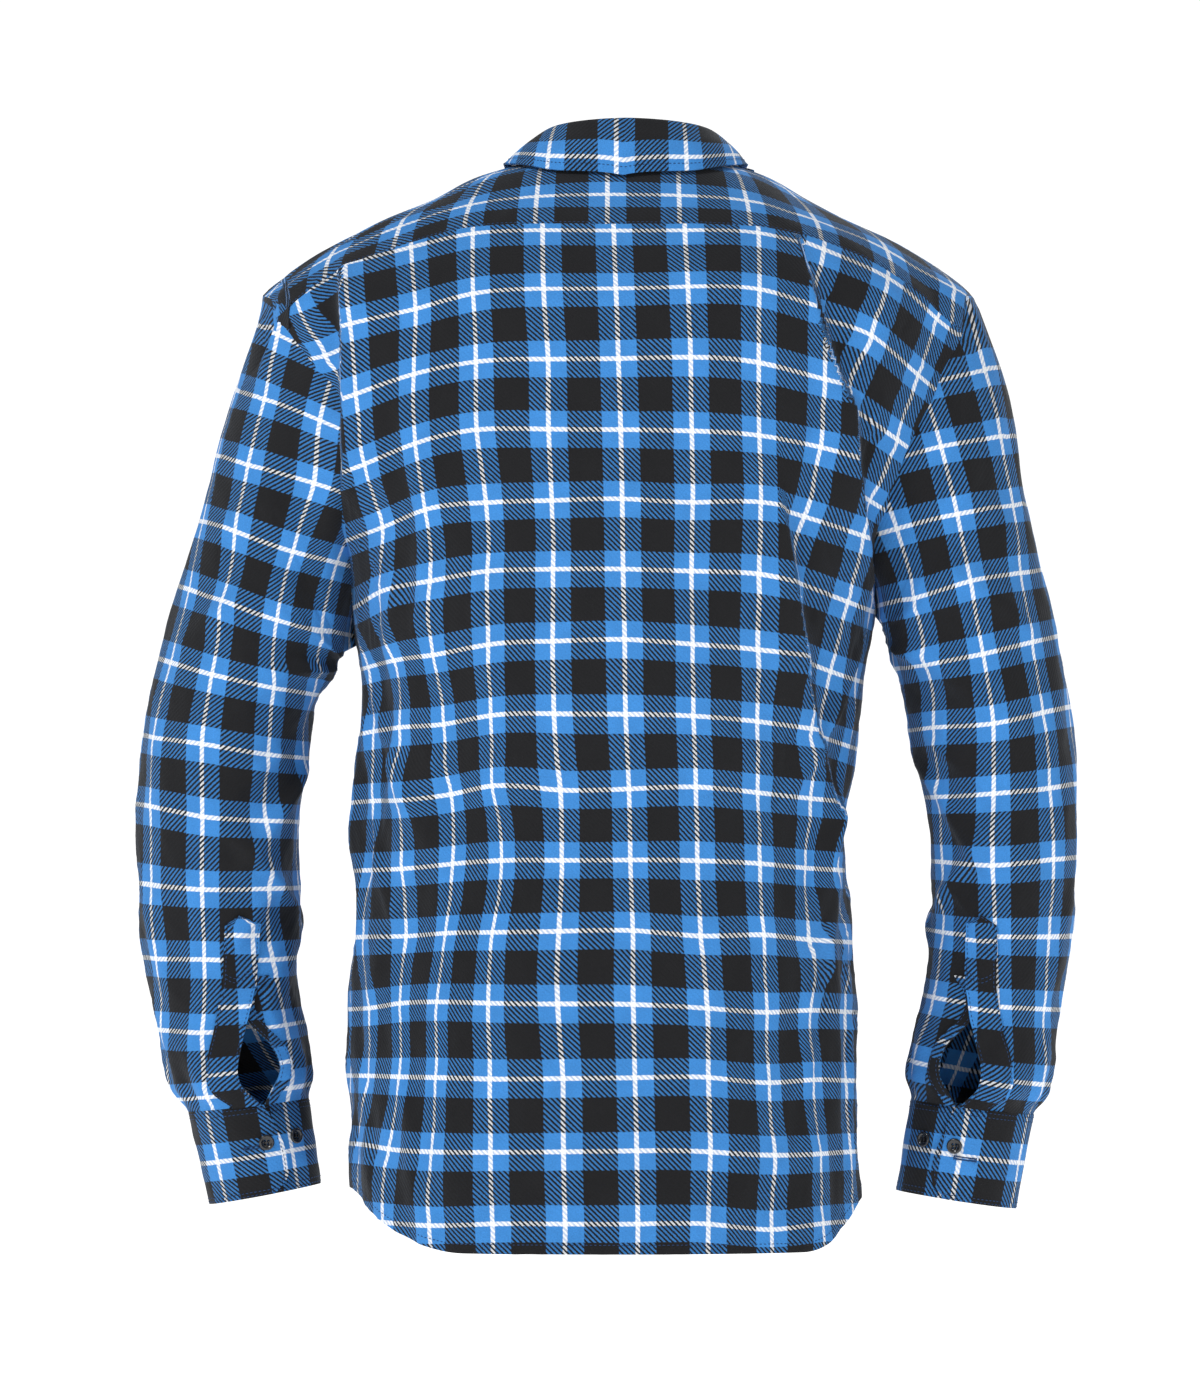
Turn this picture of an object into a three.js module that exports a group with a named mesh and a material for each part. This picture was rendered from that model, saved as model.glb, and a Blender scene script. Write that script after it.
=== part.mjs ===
// Flannel shirt, filled out as if worn, arms hanging at the sides.
// Units are millimetres. +Z is up, the shirt's front faces -Y, the wearer's left is +X.
// The origin is the middle of the neck opening, level with the tops of the shoulders at the neck.
import * as THREE from "three";

// Driving dimensions
const CLOTH = 1.2; // thickness of one layer of brushed flannel
const CUFF_CLOTH = 2.2; // two layers and interlining
const STAND_CLOTH = 1.8; // two layers and interlining
const FALL_CLOTH = 1.6;
const FRONT_SINK = STAND_CLOTH + 0.5; // the right front lies this far under the left one
const SEAM_INSET = 0.2; // each panel stops this far from its seam line
const LIFT = 0.35; // clearance of a piece that lies on a panel
const BACK_HEM_Z = -759; // lowest point of the tail at the back
const FRONT_HEM_Z = -750;
const SIDE_HEM_Z = -716; // hem at the side seams
const FRONT_OVERLAP = 16; // each front passes the centre line by this much
const FRONT_SINK_LENGTH = 26; // the right front sinks over this distance beside the overlap
const STAND_HEIGHT = 34; // collar stand at the centre back
const STAND_FRONT_DROP = 6; // the stand is this much lower at the centre front
const STAND_SIDE_DROP = 12.5; // and this much lower beside the neck
const STAND_LEAN = { ends: 4, sides: 24 }; // inward, over its height
const FALL_SIDE_SHARE = 0.6; // the fold of the collar is this much narrower beside the neck
const FALL_BOW = 2.5; // how far the fall swells between its fold and its edge
const BUTTON_RADIUS = 5.6;
const BUTTON_LIFT = LIFT + 0.1;
const COLLAR_BUTTON_LIFT = 0.6;
const TOWER_TOP_ROW = 17; // rows of the sleeve grid, counted from the armhole
const SLIT_TOP_ROW = 19;

// Grid sizes
const SIDE_ROWS = 12; // from the hem to the armpit
const ARMHOLE_ROWS = 8; // from the armpit to the yoke, on the back and on the fronts
const YOKE_ROWS = 5;
const BACK_COLUMNS = 26;
const YOKE_END_COLUMNS = 6; // yoke columns from the armhole to the neck, each side
const FRONT_NECK_COLUMNS = 5; // columns of a front below its neckline
const FRONT_YOKE_COLUMNS = 6; // and below its yoke seam
const BACK_FADE = 2; // how fast the bends of hem and yoke seam die out in a panel
const FRONT_FADE = 4;

const LEFT = 1;
const RIGHT = -1;
const SIDE_ANGLE = { [LEFT]: 89, [RIGHT]: -93 }; // side seams, in degrees from the centre back
// Degrees from the middle over which the hem rises, on each side.
const HEM_RISE = { [LEFT]: { from: 30, to: 90 }, [RIGHT]: { from: 44, to: 93 } };

// Level sections of the body. left and right are the distances of the sides from the middle
// plane X = 0, back and front the depths from Y = 0, power the squareness of the section.
// Above z = -90 the sides trace the shoulders, and between -90 and -330 they pass inside the arms.
const BODY = [
  { z: -775, left: 186, right: 177, back: 132, front: 120, power: 2.4 },
  { z: -705, left: 189, right: 172, back: 131, front: 120, power: 2.4 },
  { z: -663, left: 187, right: 169, back: 130.5, front: 119, power: 2.4 },
  { z: -627, left: 190, right: 169, back: 130, front: 119, power: 2.4 },
  { z: -584, left: 191, right: 168, back: 129, front: 118, power: 2.4 },
  { z: -524, left: 185, right: 162, back: 127, front: 117, power: 2.4 },
  { z: -478, left: 187, right: 160, back: 127, front: 117, power: 2.4 },
  { z: -450, left: 186, right: 162, back: 128.5, front: 118, power: 2.4 },
  { z: -414, left: 185, right: 167, back: 134, front: 121, power: 2.4 },
  { z: -360, left: 183, right: 172, back: 142, front: 125, power: 2.4 },
  { z: -328, left: 188, right: 178, back: 144, front: 126, power: 2.4 },
  { z: -290, left: 192, right: 183, back: 145, front: 126, power: 2.4 },
  { z: -250, left: 200, right: 194, back: 145, front: 125, power: 2.4 },
  { z: -200, left: 228, right: 224, back: 144.5, front: 121, power: 2.4 },
  { z: -150, left: 248, right: 246, back: 143, front: 115, power: 2.4 },
  { z: -112, left: 254, right: 252, back: 141, front: 102, power: 2.4 },
  { z: -87, left: 254, right: 254, back: 138.5, front: 89, power: 2.4 },
  { z: -72, left: 238, right: 237, back: 134, front: 81, power: 2.4 },
  { z: -58, left: 218, right: 217, back: 127, front: 74, power: 2.4 },
  { z: -44, left: 193, right: 193, back: 118, front: 66, power: 2.35 },
  { z: -30, left: 166, right: 161.5, back: 108, front: 57, power: 2.3 },
  { z: -16, left: 132, right: 135, back: 94, front: 50, power: 2.25 },
  { z: 0, left: 101, right: 107, back: 77, front: 40, power: 2.2 },
  { z: 8, left: 76, right: 86, back: 66, front: 32, power: 2.1 },
  { z: 14, left: 60, right: 70, back: 58, front: 24, power: 2 },
];

// Armhole seam: distance of the seam from the middle plane at each level.
const ARMHOLE = [
  { z: -333, backLeft: 190, backRight: 178, frontLeft: 186, frontRight: 174 },
  { z: -310, backLeft: 189, backRight: 179, frontLeft: 187, frontRight: 176 },
  { z: -280, backLeft: 188, backRight: 180, frontLeft: 188, frontRight: 179 },
  { z: -250, backLeft: 187, backRight: 183, frontLeft: 191, frontRight: 187 },
  { z: -220, backLeft: 189, backRight: 193, frontLeft: 199, frontRight: 197 },
  { z: -190, backLeft: 191, backRight: 206, frontLeft: 211, frontRight: 210 },
  { z: -160, backLeft: 197, backRight: 221, frontLeft: 225, frontRight: 224 },
  { z: -133, backLeft: 216, backRight: 232, frontLeft: 237, frontRight: 236 },
  { z: -112, backLeft: 231, backRight: 242, frontLeft: 246, frontRight: 245 },
  { z: -100, backLeft: 239, backRight: 247, frontLeft: 250, frontRight: 250 },
  { z: -87, backLeft: 252, backRight: 254, frontLeft: 254, frontRight: 254 },
];
const ARMPIT_Z = { [LEFT]: -333, [RIGHT]: -310 };
const ARMPIT_BLEND = 45; // the armhole leaves the side seam's line over this height

// Back yoke seam: its height across the back, from the right armhole to the left one.
const YOKE_SEAM = [
  { x: -242, z: -112 },
  { x: -210, z: -82 },
  { x: -172, z: -57 },
  { x: -145, z: -45 },
  { x: -115, z: -36 },
  { x: -90, z: -33 },
  { x: 0, z: -33 },
  { x: 90, z: -33 },
  { x: 115, z: -36 },
  { x: 147, z: -46 },
  { x: 176, z: -57 },
  { x: 205, z: -73 },
  { x: 238, z: -101 },
];
const FRONT_JUNCTION_Z = -104; // where the front yoke seam meets the armhole
const YOKE_BULGE = { height: 7, power: 5 }; // fullness of the yoke over the shoulder's end

// The neckline: its back, the place where the front yoke seam meets it, and its front.
const NECK_BACK = { z: 8, out: 81, roundness: 0.95, turn: 112, depth: 0.999 };
const NECK_JUNCTION = { z: -8, out: 75, y: -32 };
const NECK_FRONT = { z: -60, y: -85, roundness: 0.9 };
const SHOULDER_HEIGHTS = { low: -140, high: 13.9 };

// Folds of the body cloth. Each runs between two places, an angle from the centre back
// (degrees, left positive) and a height, and is a ridge with one width on each side.
const BODY_FOLDS = [
  { fromAngle: 46, fromZ: -70, toAngle: 60, toZ: -250, height: 9, inner: 30, outer: 13 },
  { fromAngle: -32, fromZ: -70, toAngle: -42, toZ: -190, height: 7, inner: 26, outer: 12 },
  { fromAngle: -42, fromZ: -180, toAngle: -63, toZ: -300, height: 7, inner: 22, outer: 12 },
  { fromAngle: -50, fromZ: -250, toAngle: -56, toZ: -480, height: 5, inner: 18, outer: 14 },
  { fromAngle: 62, fromZ: -360, toAngle: 50, toZ: -640, height: 5, inner: 20, outer: 20 },
  { fromAngle: 80, fromZ: -420, toAngle: 72, toZ: -690, height: 5, inner: 14, outer: 14 },
  { fromAngle: -66, fromZ: -450, toAngle: -60, toZ: -700, height: 5, inner: 18, outer: 16 },
  { fromAngle: 34, fromZ: -480, toAngle: 30, toZ: -730, height: 3, inner: 22, outer: 22 },
  { fromAngle: -36, fromZ: -500, toAngle: -34, toZ: -740, height: 3, inner: 22, outer: 22 },
  { fromAngle: 118, fromZ: -250, toAngle: 128, toZ: -620, height: 5, inner: 20, outer: 18 },
  { fromAngle: -120, fromZ: -240, toAngle: -130, toZ: -600, height: 5, inner: 20, outer: 18 },
  { fromAngle: 138, fromZ: -130, toAngle: 122, toZ: -240, height: 5, inner: 18, outer: 18 },
  { fromAngle: -136, fromZ: -130, toAngle: -122, toZ: -230, height: 5, inner: 18, outer: 18 },
];
const FOLD_RADIUS = 165; // millimetres of cloth for each radian round the body
const FOLD_START = { from: -0.15, to: 0.2 }; // shares of the length over which a fold rises
const FOLD_STOP = { from: 0.75, to: 1.15 }; // and dies out

// Sleeve rings from just below the armhole to the cuff seam. Each ring runs through an outer
// and an inner point in the plane of the arms, with a middle and half depth along Y.
const SLEEVE = {
  [LEFT]: [
    { outZ: -116, out: 264, inZ: -337, in: 194, y: 14, depth: 64 },
    { outZ: -160, out: 276, inZ: -341, in: 196, y: 12, depth: 65 },
    { outZ: -215, out: 290, inZ: -347, in: 199.5, y: 8, depth: 66 },
    { outZ: -271, out: 306, inZ: -356, in: 204, y: 3, depth: 66 },
    { outZ: -328, out: 323, inZ: -372, in: 213, y: -3, depth: 65 },
    { outZ: -385, out: 336, inZ: -402, in: 220.5, y: -9, depth: 64 },
    { outZ: -442, out: 341.5, inZ: -442, in: 225, y: -14, depth: 60 },
    { outZ: -500, out: 342, inZ: -492, in: 227, y: -19, depth: 57 },
    { outZ: -535, out: 341, inZ: -528, in: 227.5, y: -23, depth: 54 },
    { outZ: -577, out: 334.5, inZ: -564, in: 227.5, y: -27, depth: 51 },
    { outZ: -611, out: 325.5, inZ: -599, in: 227.4, y: -30, depth: 48.5 },
    { outZ: -642, out: 315.5, inZ: -630, in: 224, y: -32, depth: 46.5 },
    { outZ: -665, out: 307, inZ: -655, in: 220.5, y: -33, depth: 42.5 },
  ],
  [RIGHT]: [
    { outZ: -116, out: 268, inZ: -315, in: 185, y: 13, depth: 63 },
    { outZ: -160, out: 280, inZ: -320, in: 187.5, y: 11, depth: 64 },
    { outZ: -215, out: 288.5, inZ: -328, in: 190, y: 7, depth: 65 },
    { outZ: -271, out: 300, inZ: -342, in: 194, y: 2, depth: 65 },
    { outZ: -328, out: 312, inZ: -363, in: 202, y: -3, depth: 64 },
    { outZ: -385, out: 322.5, inZ: -398, in: 208, y: -9, depth: 63 },
    { outZ: -442, out: 327.5, inZ: -440, in: 219, y: -14, depth: 60 },
    { outZ: -500, out: 326, inZ: -492, in: 223, y: -19, depth: 57 },
    { outZ: -535, out: 323.5, inZ: -528, in: 223.7, y: -23, depth: 54 },
    { outZ: -577, out: 317, inZ: -564, in: 220.5, y: -27, depth: 51 },
    { outZ: -611, out: 309.5, inZ: -599, in: 216.5, y: -30, depth: 48.5 },
    { outZ: -643, out: 303.5, inZ: -631, in: 212, y: -32, depth: 46.5 },
    { outZ: -667, out: 296.5, inZ: -656, in: 209.5, y: -33, depth: 42.5 },
  ],
};
const SLEEVE_ROW_STEP = 0.5; // grid rows for each ring of the table
const SLEEVE_RADIUS = 55; // millimetres of cloth for each radian round the sleeve
const SLEEVE_SETTLE = 7; // ring at which the columns have turned to the slit's angles
const BLOUSE = { height: 5, from: 9, full: 10.8, hold: 11.2, to: 12 }; // cloth over the cuff
const SLEEVE_LOOP_START = 4; // armhole point, counted from the armpit up the back, above the slit

// The slit above the cuff. Angles round the ring: 0 is next to the body, 90 faces back.
const SLIT_EDGES = [
  { row: 0, tower: 63, binding: 63 },
  { row: 19, tower: 63, binding: 63 },
  { row: 20, tower: 68, binding: 65 },
  { row: 21, tower: 75, binding: 67 },
  { row: 22, tower: 82, binding: 57 },
  { row: 23, tower: 87, binding: 54 },
  { row: 24, tower: 84, binding: 61 },
  { row: 25, tower: 76, binding: 72.5 },
];
const TOWER_STEP = 13; // degrees round the ring for half the tower's width
const BINDING_STEP = 10;
const TOWER_POINT_CUT = 0.6; // the point is this much shorter than one row of the grid

// Folds of the sleeve cloth: place along (ring number) and round (degrees), the direction and
// length of the crease, its height and width in millimetres.
const SLEEVE_FOLDS_END = { from: 10, to: 12 }; // rings over which they die out
const SLEEVE_FOLDS = [
  { ring: 2.6, angle: 95, slope: 26, reach: 1.6, height: 6, width: 12 },
  { ring: 3.8, angle: 60, slope: 30, reach: 1.5, height: 5, width: 11 },
  { ring: 6.2, angle: 42, slope: 42, reach: 1.1, height: 5, width: 9 },
  { ring: 7, angle: 50, slope: -40, reach: 1.1, height: 5, width: 9 },
  { ring: 7.6, angle: 330, slope: 36, reach: 1.2, height: 5, width: 9 },
  { ring: 6.6, angle: 300, slope: -30, reach: 1.3, height: 4, width: 10 },
  { ring: 4.4, angle: 285, slope: -28, reach: 1.4, height: 4, width: 12 },
];

// Cuffs: outer and inner points of the top and bottom rings, as on the sleeve, whose last ring
// is the cuff's first.
const CUFF = {
  [LEFT]: {
    top: SLEEVE[LEFT].at(-1),
    bottom: { outZ: -731, out: 291.5, inZ: -716, in: 212, y: -37, depth: 39.5 },
  },
  [RIGHT]: {
    top: SLEEVE[RIGHT].at(-1),
    bottom: { outZ: -734, out: 284, inZ: -721, in: 199, y: -37, depth: 39.5 },
  },
};
// The free end of the overlap, in degrees round the ring at each share of the height.
const CUFF_END = [
  { down: 0, angle: 74 },
  { down: 0.25, angle: 66 },
  { down: 0.6, angle: 59 },
  { down: 0.85, angle: 63 },
  { down: 1, angle: 78 },
];
const CUFF_UNDERLAP_ANGLE = 450; // end of the hidden layer, past a full turn
const CUFF_UNDERLAP = { from: 366, to: 408, gap: 0.6 }; // where it sinks under the overlap
const CUFF_COLUMNS = 30;
const CUFF_ROWS = 4;
const CUFF_BUTTONS = [
  { name: "fastened", angle: 78, down: 0.42, layer: "over" },
  { name: "spare", angle: 402, down: 0.4, layer: "under" },
];

// Fold of the collar: distance out from the top of the stand, and up past it.
const FALL_PROFILE = [
  { out: -2.2, up: 2.6 },
  { out: 1.5, up: 4.6 },
  { out: 6.5, up: 3.4 },
  { out: 10, up: -3.5 },
];
// Lower edge of the fall in plan, by its share of the way from centre back to centre front.
const FALL_EDGE = [
  { share: 0, out: 0, y: 84, clear: 12 },
  { share: 0.2, out: 52, y: 70, clear: 10 },
  { share: 0.36, out: 82, y: 36, clear: 6 },
  { share: 0.48, out: 91, y: 2, clear: 5 },
  { share: 0.6, out: 87, y: -32, clear: 7.5 },
  { share: 0.8, out: 66, y: -76, clear: 4.5 },
  { share: 1, out: 36, y: -101, clear: 4.5 },
];
const FALL_ROWS_BELOW = 3;

const FRONT_BUTTON_Z = [-132, -218, -304, -390, -476, -562];

// A button's section: share of its radius, and height above its back.
const BUTTON_PROFILE = [
  [0, 0],
  [0.84, 0],
  [1, 1],
  [0.94, 2.2],
  [0.72, 2.3],
  [0.62, 1.5],
  [0, 1.5],
];

const COLOURS = {
  cloth: 0x2f6fb5,
  trim: 0x1f4f8a,
  button: 0x0c0c0e,
};

// Value of one column of a table at a place, by a smooth curve through its rows.
function tableValue(table, key, column, at) {
  const last = table.length - 1;
  if (at <= table[0][key]) return table[0][column];
  if (at >= table[last][key]) return table[last][column];
  let i = 0;
  while (table[i + 1][key] < at) i += 1;
  const slope = (a, b) => (table[b][column] - table[a][column]) / (table[b][key] - table[a][key]);
  const step = table[i + 1][key] - table[i][key];
  const here = slope(i, i + 1);
  const before = i > 0 ? (slope(i - 1, i) + here) / 2 : here;
  const after = i + 1 < last ? (slope(i + 1, i + 2) + here) / 2 : here;
  const t = (at - table[i][key]) / step;
  const t2 = t * t;
  const t3 = t2 * t;
  return (
    (2 * t3 - 3 * t2 + 1) * table[i][column] +
    (t3 - 2 * t2 + t) * step * before +
    (3 * t2 - 2 * t3) * table[i + 1][column] +
    (t3 - t2) * step * after
  );
}

function smooth(from, to, at) {
  return THREE.MathUtils.smoothstep(at, from, to);
}

function lerp(a, b, t) {
  return a + (b - a) * t;
}

function radians(degrees) {
  return THREE.MathUtils.degToRad(degrees);
}

function signedPower(value, power) {
  return Math.sign(value) * Math.abs(value) ** power;
}

// Body surface

function bodySection(z) {
  const value = (column) => tableValue(BODY, "z", column, z);
  const left = value("left");
  const right = value("right");
  return {
    middle: (left - right) / 2,
    half: (left + right) / 2,
    back: value("back"),
    front: value("front"),
    power: value("power"),
  };
}

function plainBodyPoint(angle, z) {
  const s = bodySection(z);
  const across = Math.sin(angle);
  const along = Math.cos(angle);
  const depth = along > 0 ? s.back : s.front;
  return new THREE.Vector3(
    s.middle + s.half * signedPower(across, 2 / s.power),
    depth * signedPower(along, 2 / s.power),
    z,
  );
}

function foldHeight(angle, z) {
  let height = 0;
  for (const fold of BODY_FOLDS) {
    const ax = radians(fold.fromAngle) * FOLD_RADIUS;
    const bx = radians(fold.toAngle) * FOLD_RADIUS;
    const dx = bx - ax;
    const dz = fold.toZ - fold.fromZ;
    const length = Math.hypot(dx, dz);
    const px = angle * FOLD_RADIUS - ax;
    const pz = z - fold.fromZ;
    const along = (px * dx + pz * dz) / (length * length);
    const side = (px * dz - pz * dx) / length;
    const outward = -side * Math.sign(fold.fromAngle);
    const width = outward > 0 ? fold.outer : fold.inner;
    const start = smooth(FOLD_START.from, FOLD_START.to, along);
    const stop = smooth(FOLD_STOP.from, FOLD_STOP.to, along);
    const ends = start * (1 - stop);
    height += fold.height * ends * Math.exp(-((side / width) ** 2));
  }
  return height;
}

function bodyPoint(angle, z, lift = 0) {
  const step = 0.01;
  const point = plainBodyPoint(angle, z);
  const round = plainBodyPoint(angle + step, z).sub(plainBodyPoint(angle - step, z));
  const up = plainBodyPoint(angle, z + 1).sub(plainBodyPoint(angle, z - 1));
  const outward = up.cross(round).normalize();
  if (outward.dot(new THREE.Vector3(Math.sin(angle), Math.cos(angle), 0)) < 0) outward.negate();
  return point.addScaledVector(outward, foldHeight(angle, z) + lift);
}

// Angle of the point of a level section at a given X, on the back or the front half.
function angleAt(x, z, isFront) {
  const s = bodySection(z);
  const share = Math.min(1, Math.abs(x - s.middle) / s.half);
  const angle = Math.asin(share ** (s.power / 2)) * Math.sign(x - s.middle);
  return isFront ? Math.sign(x - s.middle || 1) * Math.PI - angle : angle;
}

// Height of the shoulder and chest surface over a point in plan.
function heightOver(x, y) {
  let { low, high } = SHOULDER_HEIGHTS;
  for (let i = 0; i < 40; i += 1) {
    const z = (low + high) / 2;
    const s = bodySection(z);
    const depth = y > 0 ? s.back : s.front;
    const sum = (Math.abs(x - s.middle) / s.half) ** s.power + (Math.abs(y) / depth) ** s.power;
    if (sum < 1) low = z;
    else high = z;
  }
  return (low + high) / 2;
}

// Angle and height, on the body, of a point in plan.
function placeOver(x, y) {
  const z = heightOver(x, y);
  return { angle: angleAt(x, z, y < 0), z };
}

// Seam lines, as places (angle and height) on the body surface

function armholePlace(side, z, isFront) {
  const column = (isFront ? "front" : "back") + (side === LEFT ? "Left" : "Right");
  const x = side * tableValue(ARMHOLE, "z", column, z);
  const seam = angleAt(x, z, isFront);
  const above = smooth(ARMPIT_Z[side], ARMPIT_Z[side] + ARMPIT_BLEND, z);
  return { angle: lerp(radians(SIDE_ANGLE[side]), seam, above), z };
}

function evenly(count, from, to) {
  return Array.from({ length: count + 1 }, (_, i) => lerp(from, to, i / count));
}

// The side edge of the back or a front: up the side seam, then up the armhole.
function sideEdge(side, isFront, junctionZ) {
  const angle = radians(SIDE_ANGLE[side]);
  const seam = evenly(SIDE_ROWS, SIDE_HEM_Z, ARMPIT_Z[side]).map((z) => ({ angle, z }));
  const heights = evenly(ARMHOLE_ROWS, ARMPIT_Z[side], junctionZ);
  const armhole = heights.map((z) => armholePlace(side, z, isFront));
  return [...seam, ...armhole.slice(1)];
}

function hemPlace(angle, isFront) {
  const fromMiddle = isFront ? Math.PI - Math.abs(angle) : Math.abs(angle);
  const lowest = isFront ? FRONT_HEM_Z : BACK_HEM_Z;
  const { from, to } = HEM_RISE[angle < 0 ? RIGHT : LEFT];
  const rise = smooth(radians(from), radians(to), fromMiddle);
  return { angle, z: lerp(lowest, SIDE_HEM_Z, rise) };
}

// A grid of places filled in between four edges, each a list of places. The bends of the bottom
// and top edges fade into the panel, the faster the higher the power fade.
function fillGrid(bottom, top, first, last, fade) {
  const columns = bottom.length - 1;
  const rows = first.length - 1;
  const grid = [];
  const span = last[rows].z - last[0].z;
  for (let j = 0; j <= rows; j += 1) {
    const v = (last[j].z - last[0].z) / span;
    const row = [];
    for (let i = 0; i <= columns; i += 1) {
      const u = i / columns;
      const bend = (edge, key) => edge[i][key] - lerp(edge[0][key], edge[columns][key], u);
      const mix = (key) =>
        lerp(first[j][key], last[j][key], u) +
        (1 - v) ** fade * bend(bottom, key) +
        v ** fade * bend(top, key);
      row.push({ angle: mix("angle"), z: mix("z") });
    }
    grid.push(row);
  }
  return grid;
}

// Surfaces: a list of points and a list of triangles, outward side first

class Surface {
  constructor() {
    this.points = [];
    this.triangles = [];
  }

  add(point) {
    this.points.push(point);
    return this.points.length - 1;
  }

  quad(a, b, c, d) {
    this.triangles.push([a, b, c], [a, c, d]);
  }
}

function surfaceFromRows(rows) {
  const surface = new Surface();
  const ids = rows.map((row) => row.map((point) => surface.add(point)));
  for (let j = 0; j + 1 < ids.length; j += 1) {
    for (let i = 0; i + 1 < ids[j].length; i += 1) {
      surface.quad(ids[j][i], ids[j][i + 1], ids[j + 1][i + 1], ids[j + 1][i]);
    }
  }
  surface.ids = ids;
  return surface;
}

function flip(surface) {
  surface.triangles = surface.triangles.map(([a, b, c]) => [a, c, b]);
  return surface;
}

const pointKey = (p) => [p.x, p.y, p.z].map((value) => Math.round(value * 50)).join(",");

function ownNormals(surface) {
  const sums = new Map();
  for (const [a, b, c] of surface.triangles) {
    const pa = surface.points[a];
    const edge = surface.points[b].clone().sub(pa);
    const normal = edge.cross(surface.points[c].clone().sub(pa)).normalize();
    for (const id of [a, b, c]) {
      const key = pointKey(surface.points[id]);
      if (!sums.has(key)) sums.set(key, new THREE.Vector3());
      sums.get(key).add(normal);
    }
  }
  for (const sum of sums.values()) sum.normalize();
  return sums;
}

// Panels that meet at a seam share one outward direction at each of its points.
function shareNormals(surfaces) {
  const shared = new Map();
  for (const surface of surfaces) {
    for (const [key, normal] of ownNormals(surface)) {
      if (!shared.has(key)) shared.set(key, new THREE.Vector3());
      shared.get(key).add(normal);
    }
  }
  for (const sum of shared.values()) sum.normalize();
  for (const surface of surfaces) {
    surface.normals = surface.points.map((p) => shared.get(pointKey(p)).clone());
  }
}

// Joins points at the same place, so a tube closes where its first and last columns meet.
function weld(surface) {
  const places = new Map();
  const merged = new Surface();
  merged.normals = [];
  const remap = surface.points.map((point, id) => {
    const key = pointKey(point);
    if (!places.has(key)) {
      places.set(key, merged.add(point.clone()));
      merged.normals.push(surface.normals[id]);
    }
    return places.get(key);
  });
  for (const triangle of surface.triangles) {
    const [a, b, c] = triangle.map((id) => remap[id]);
    if (a !== b && b !== c && a !== c) merged.triangles.push([a, b, c]);
  }
  return merged;
}

function boundaryEdges(surface) {
  const edges = new Map();
  for (const [a, b, c] of surface.triangles) {
    for (const [from, to] of [[a, b], [b, c], [c, a]]) {
      if (edges.has(to + ":" + from)) edges.delete(to + ":" + from);
      else edges.set(from + ":" + to, [from, to]);
    }
  }
  return [...edges.values()];
}

// Moves each edge point into the panel, so that neighbours stay apart along their seam.
function insetEdges(surface, inset) {
  const moves = new Map();
  for (const [from, to] of boundaryEdges(surface)) {
    const along = surface.points[to].clone().sub(surface.points[from]).normalize();
    for (const id of [from, to]) {
      const inward = surface.normals[id].clone().cross(along).normalize();
      if (!moves.has(id)) moves.set(id, []);
      moves.get(id).push(inward);
    }
  }
  for (const [id, [first, second]] of moves) {
    const middle = first.clone().add(second ?? first).normalize();
    const reach = Math.max(0.5, middle.dot(first));
    surface.points[id].addScaledVector(middle, inset / reach);
  }
}

// A wall of cloth: the surface moved out by lift, and its inner side one thickness below.
function wall(source, thickness, lift = 0) {
  const surface = weld(source);
  insetEdges(surface, SEAM_INSET);
  const count = surface.points.length;
  const positions = new Float32Array(count * 6);
  surface.points.forEach((point, id) => {
    const outer = point.clone().addScaledVector(surface.normals[id], lift + thickness * (lift > 0));
    const inner = outer.clone().addScaledVector(surface.normals[id], -thickness);
    positions.set(outer.toArray(), id * 3);
    positions.set(inner.toArray(), (count + id) * 3);
  });
  const index = [];
  for (const [a, b, c] of surface.triangles) {
    index.push(a, b, c, count + a, count + c, count + b);
  }
  for (const [from, to] of boundaryEdges(surface)) {
    index.push(from, count + from, to, to, count + from, count + to);
  }
  const geometry = new THREE.BufferGeometry();
  geometry.setAttribute("position", new THREE.BufferAttribute(positions, 3));
  geometry.setIndex(index);
  geometry.computeVertexNormals();
  return geometry;
}

// Back

const yokeEnd = { [LEFT]: YOKE_SEAM.at(-1), [RIGHT]: YOKE_SEAM[0] };

function makeBack() {
  const columns = evenly(BACK_COLUMNS, -1, 1);
  const seamReach = (u) => (u < 0 ? -u * yokeEnd[RIGHT].x : u * yokeEnd[LEFT].x);
  const top = columns.map((u) => {
    const x = seamReach(u);
    const z = tableValue(YOKE_SEAM, "x", "z", x);
    return { angle: angleAt(x, z, false), z };
  });
  const right = sideEdge(RIGHT, false, yokeEnd[RIGHT].z);
  const left = sideEdge(LEFT, false, yokeEnd[LEFT].z);
  top[0] = right.at(-1);
  top[BACK_COLUMNS] = left.at(-1);
  const hemAngle = (u) => radians(Math.abs(u) * SIDE_ANGLE[u < 0 ? RIGHT : LEFT]);
  const bottom = columns.map((u) => hemPlace(hemAngle(u), false));
  bottom[0] = right[0];
  bottom[BACK_COLUMNS] = left[0];
  const places = fillGrid(bottom, top, right, left, BACK_FADE);
  const rows = places.map((row) => row.map(({ angle, z }) => bodyPoint(angle, z)));
  return flip(surfaceFromRows(rows));
}

// Yoke

function armholeJunction(side) {
  return armholePlace(side, FRONT_JUNCTION_Z, true);
}

function neckMiddle(z) {
  return bodySection(z).middle;
}

// Plan view of the front yoke seam, from the neck (share 0) to the armhole (share 1).
function frontSeamPlace(side, share) {
  const end = armholeJunction(side);
  const endPoint = plainBodyPoint(end.angle, end.z);
  const startX = neckMiddle(NECK_JUNCTION.z) + side * NECK_JUNCTION.out;
  if (share >= 1) return end;
  return placeOver(lerp(startX, endPoint.x, share), lerp(NECK_JUNCTION.y, endPoint.y, share));
}

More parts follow.
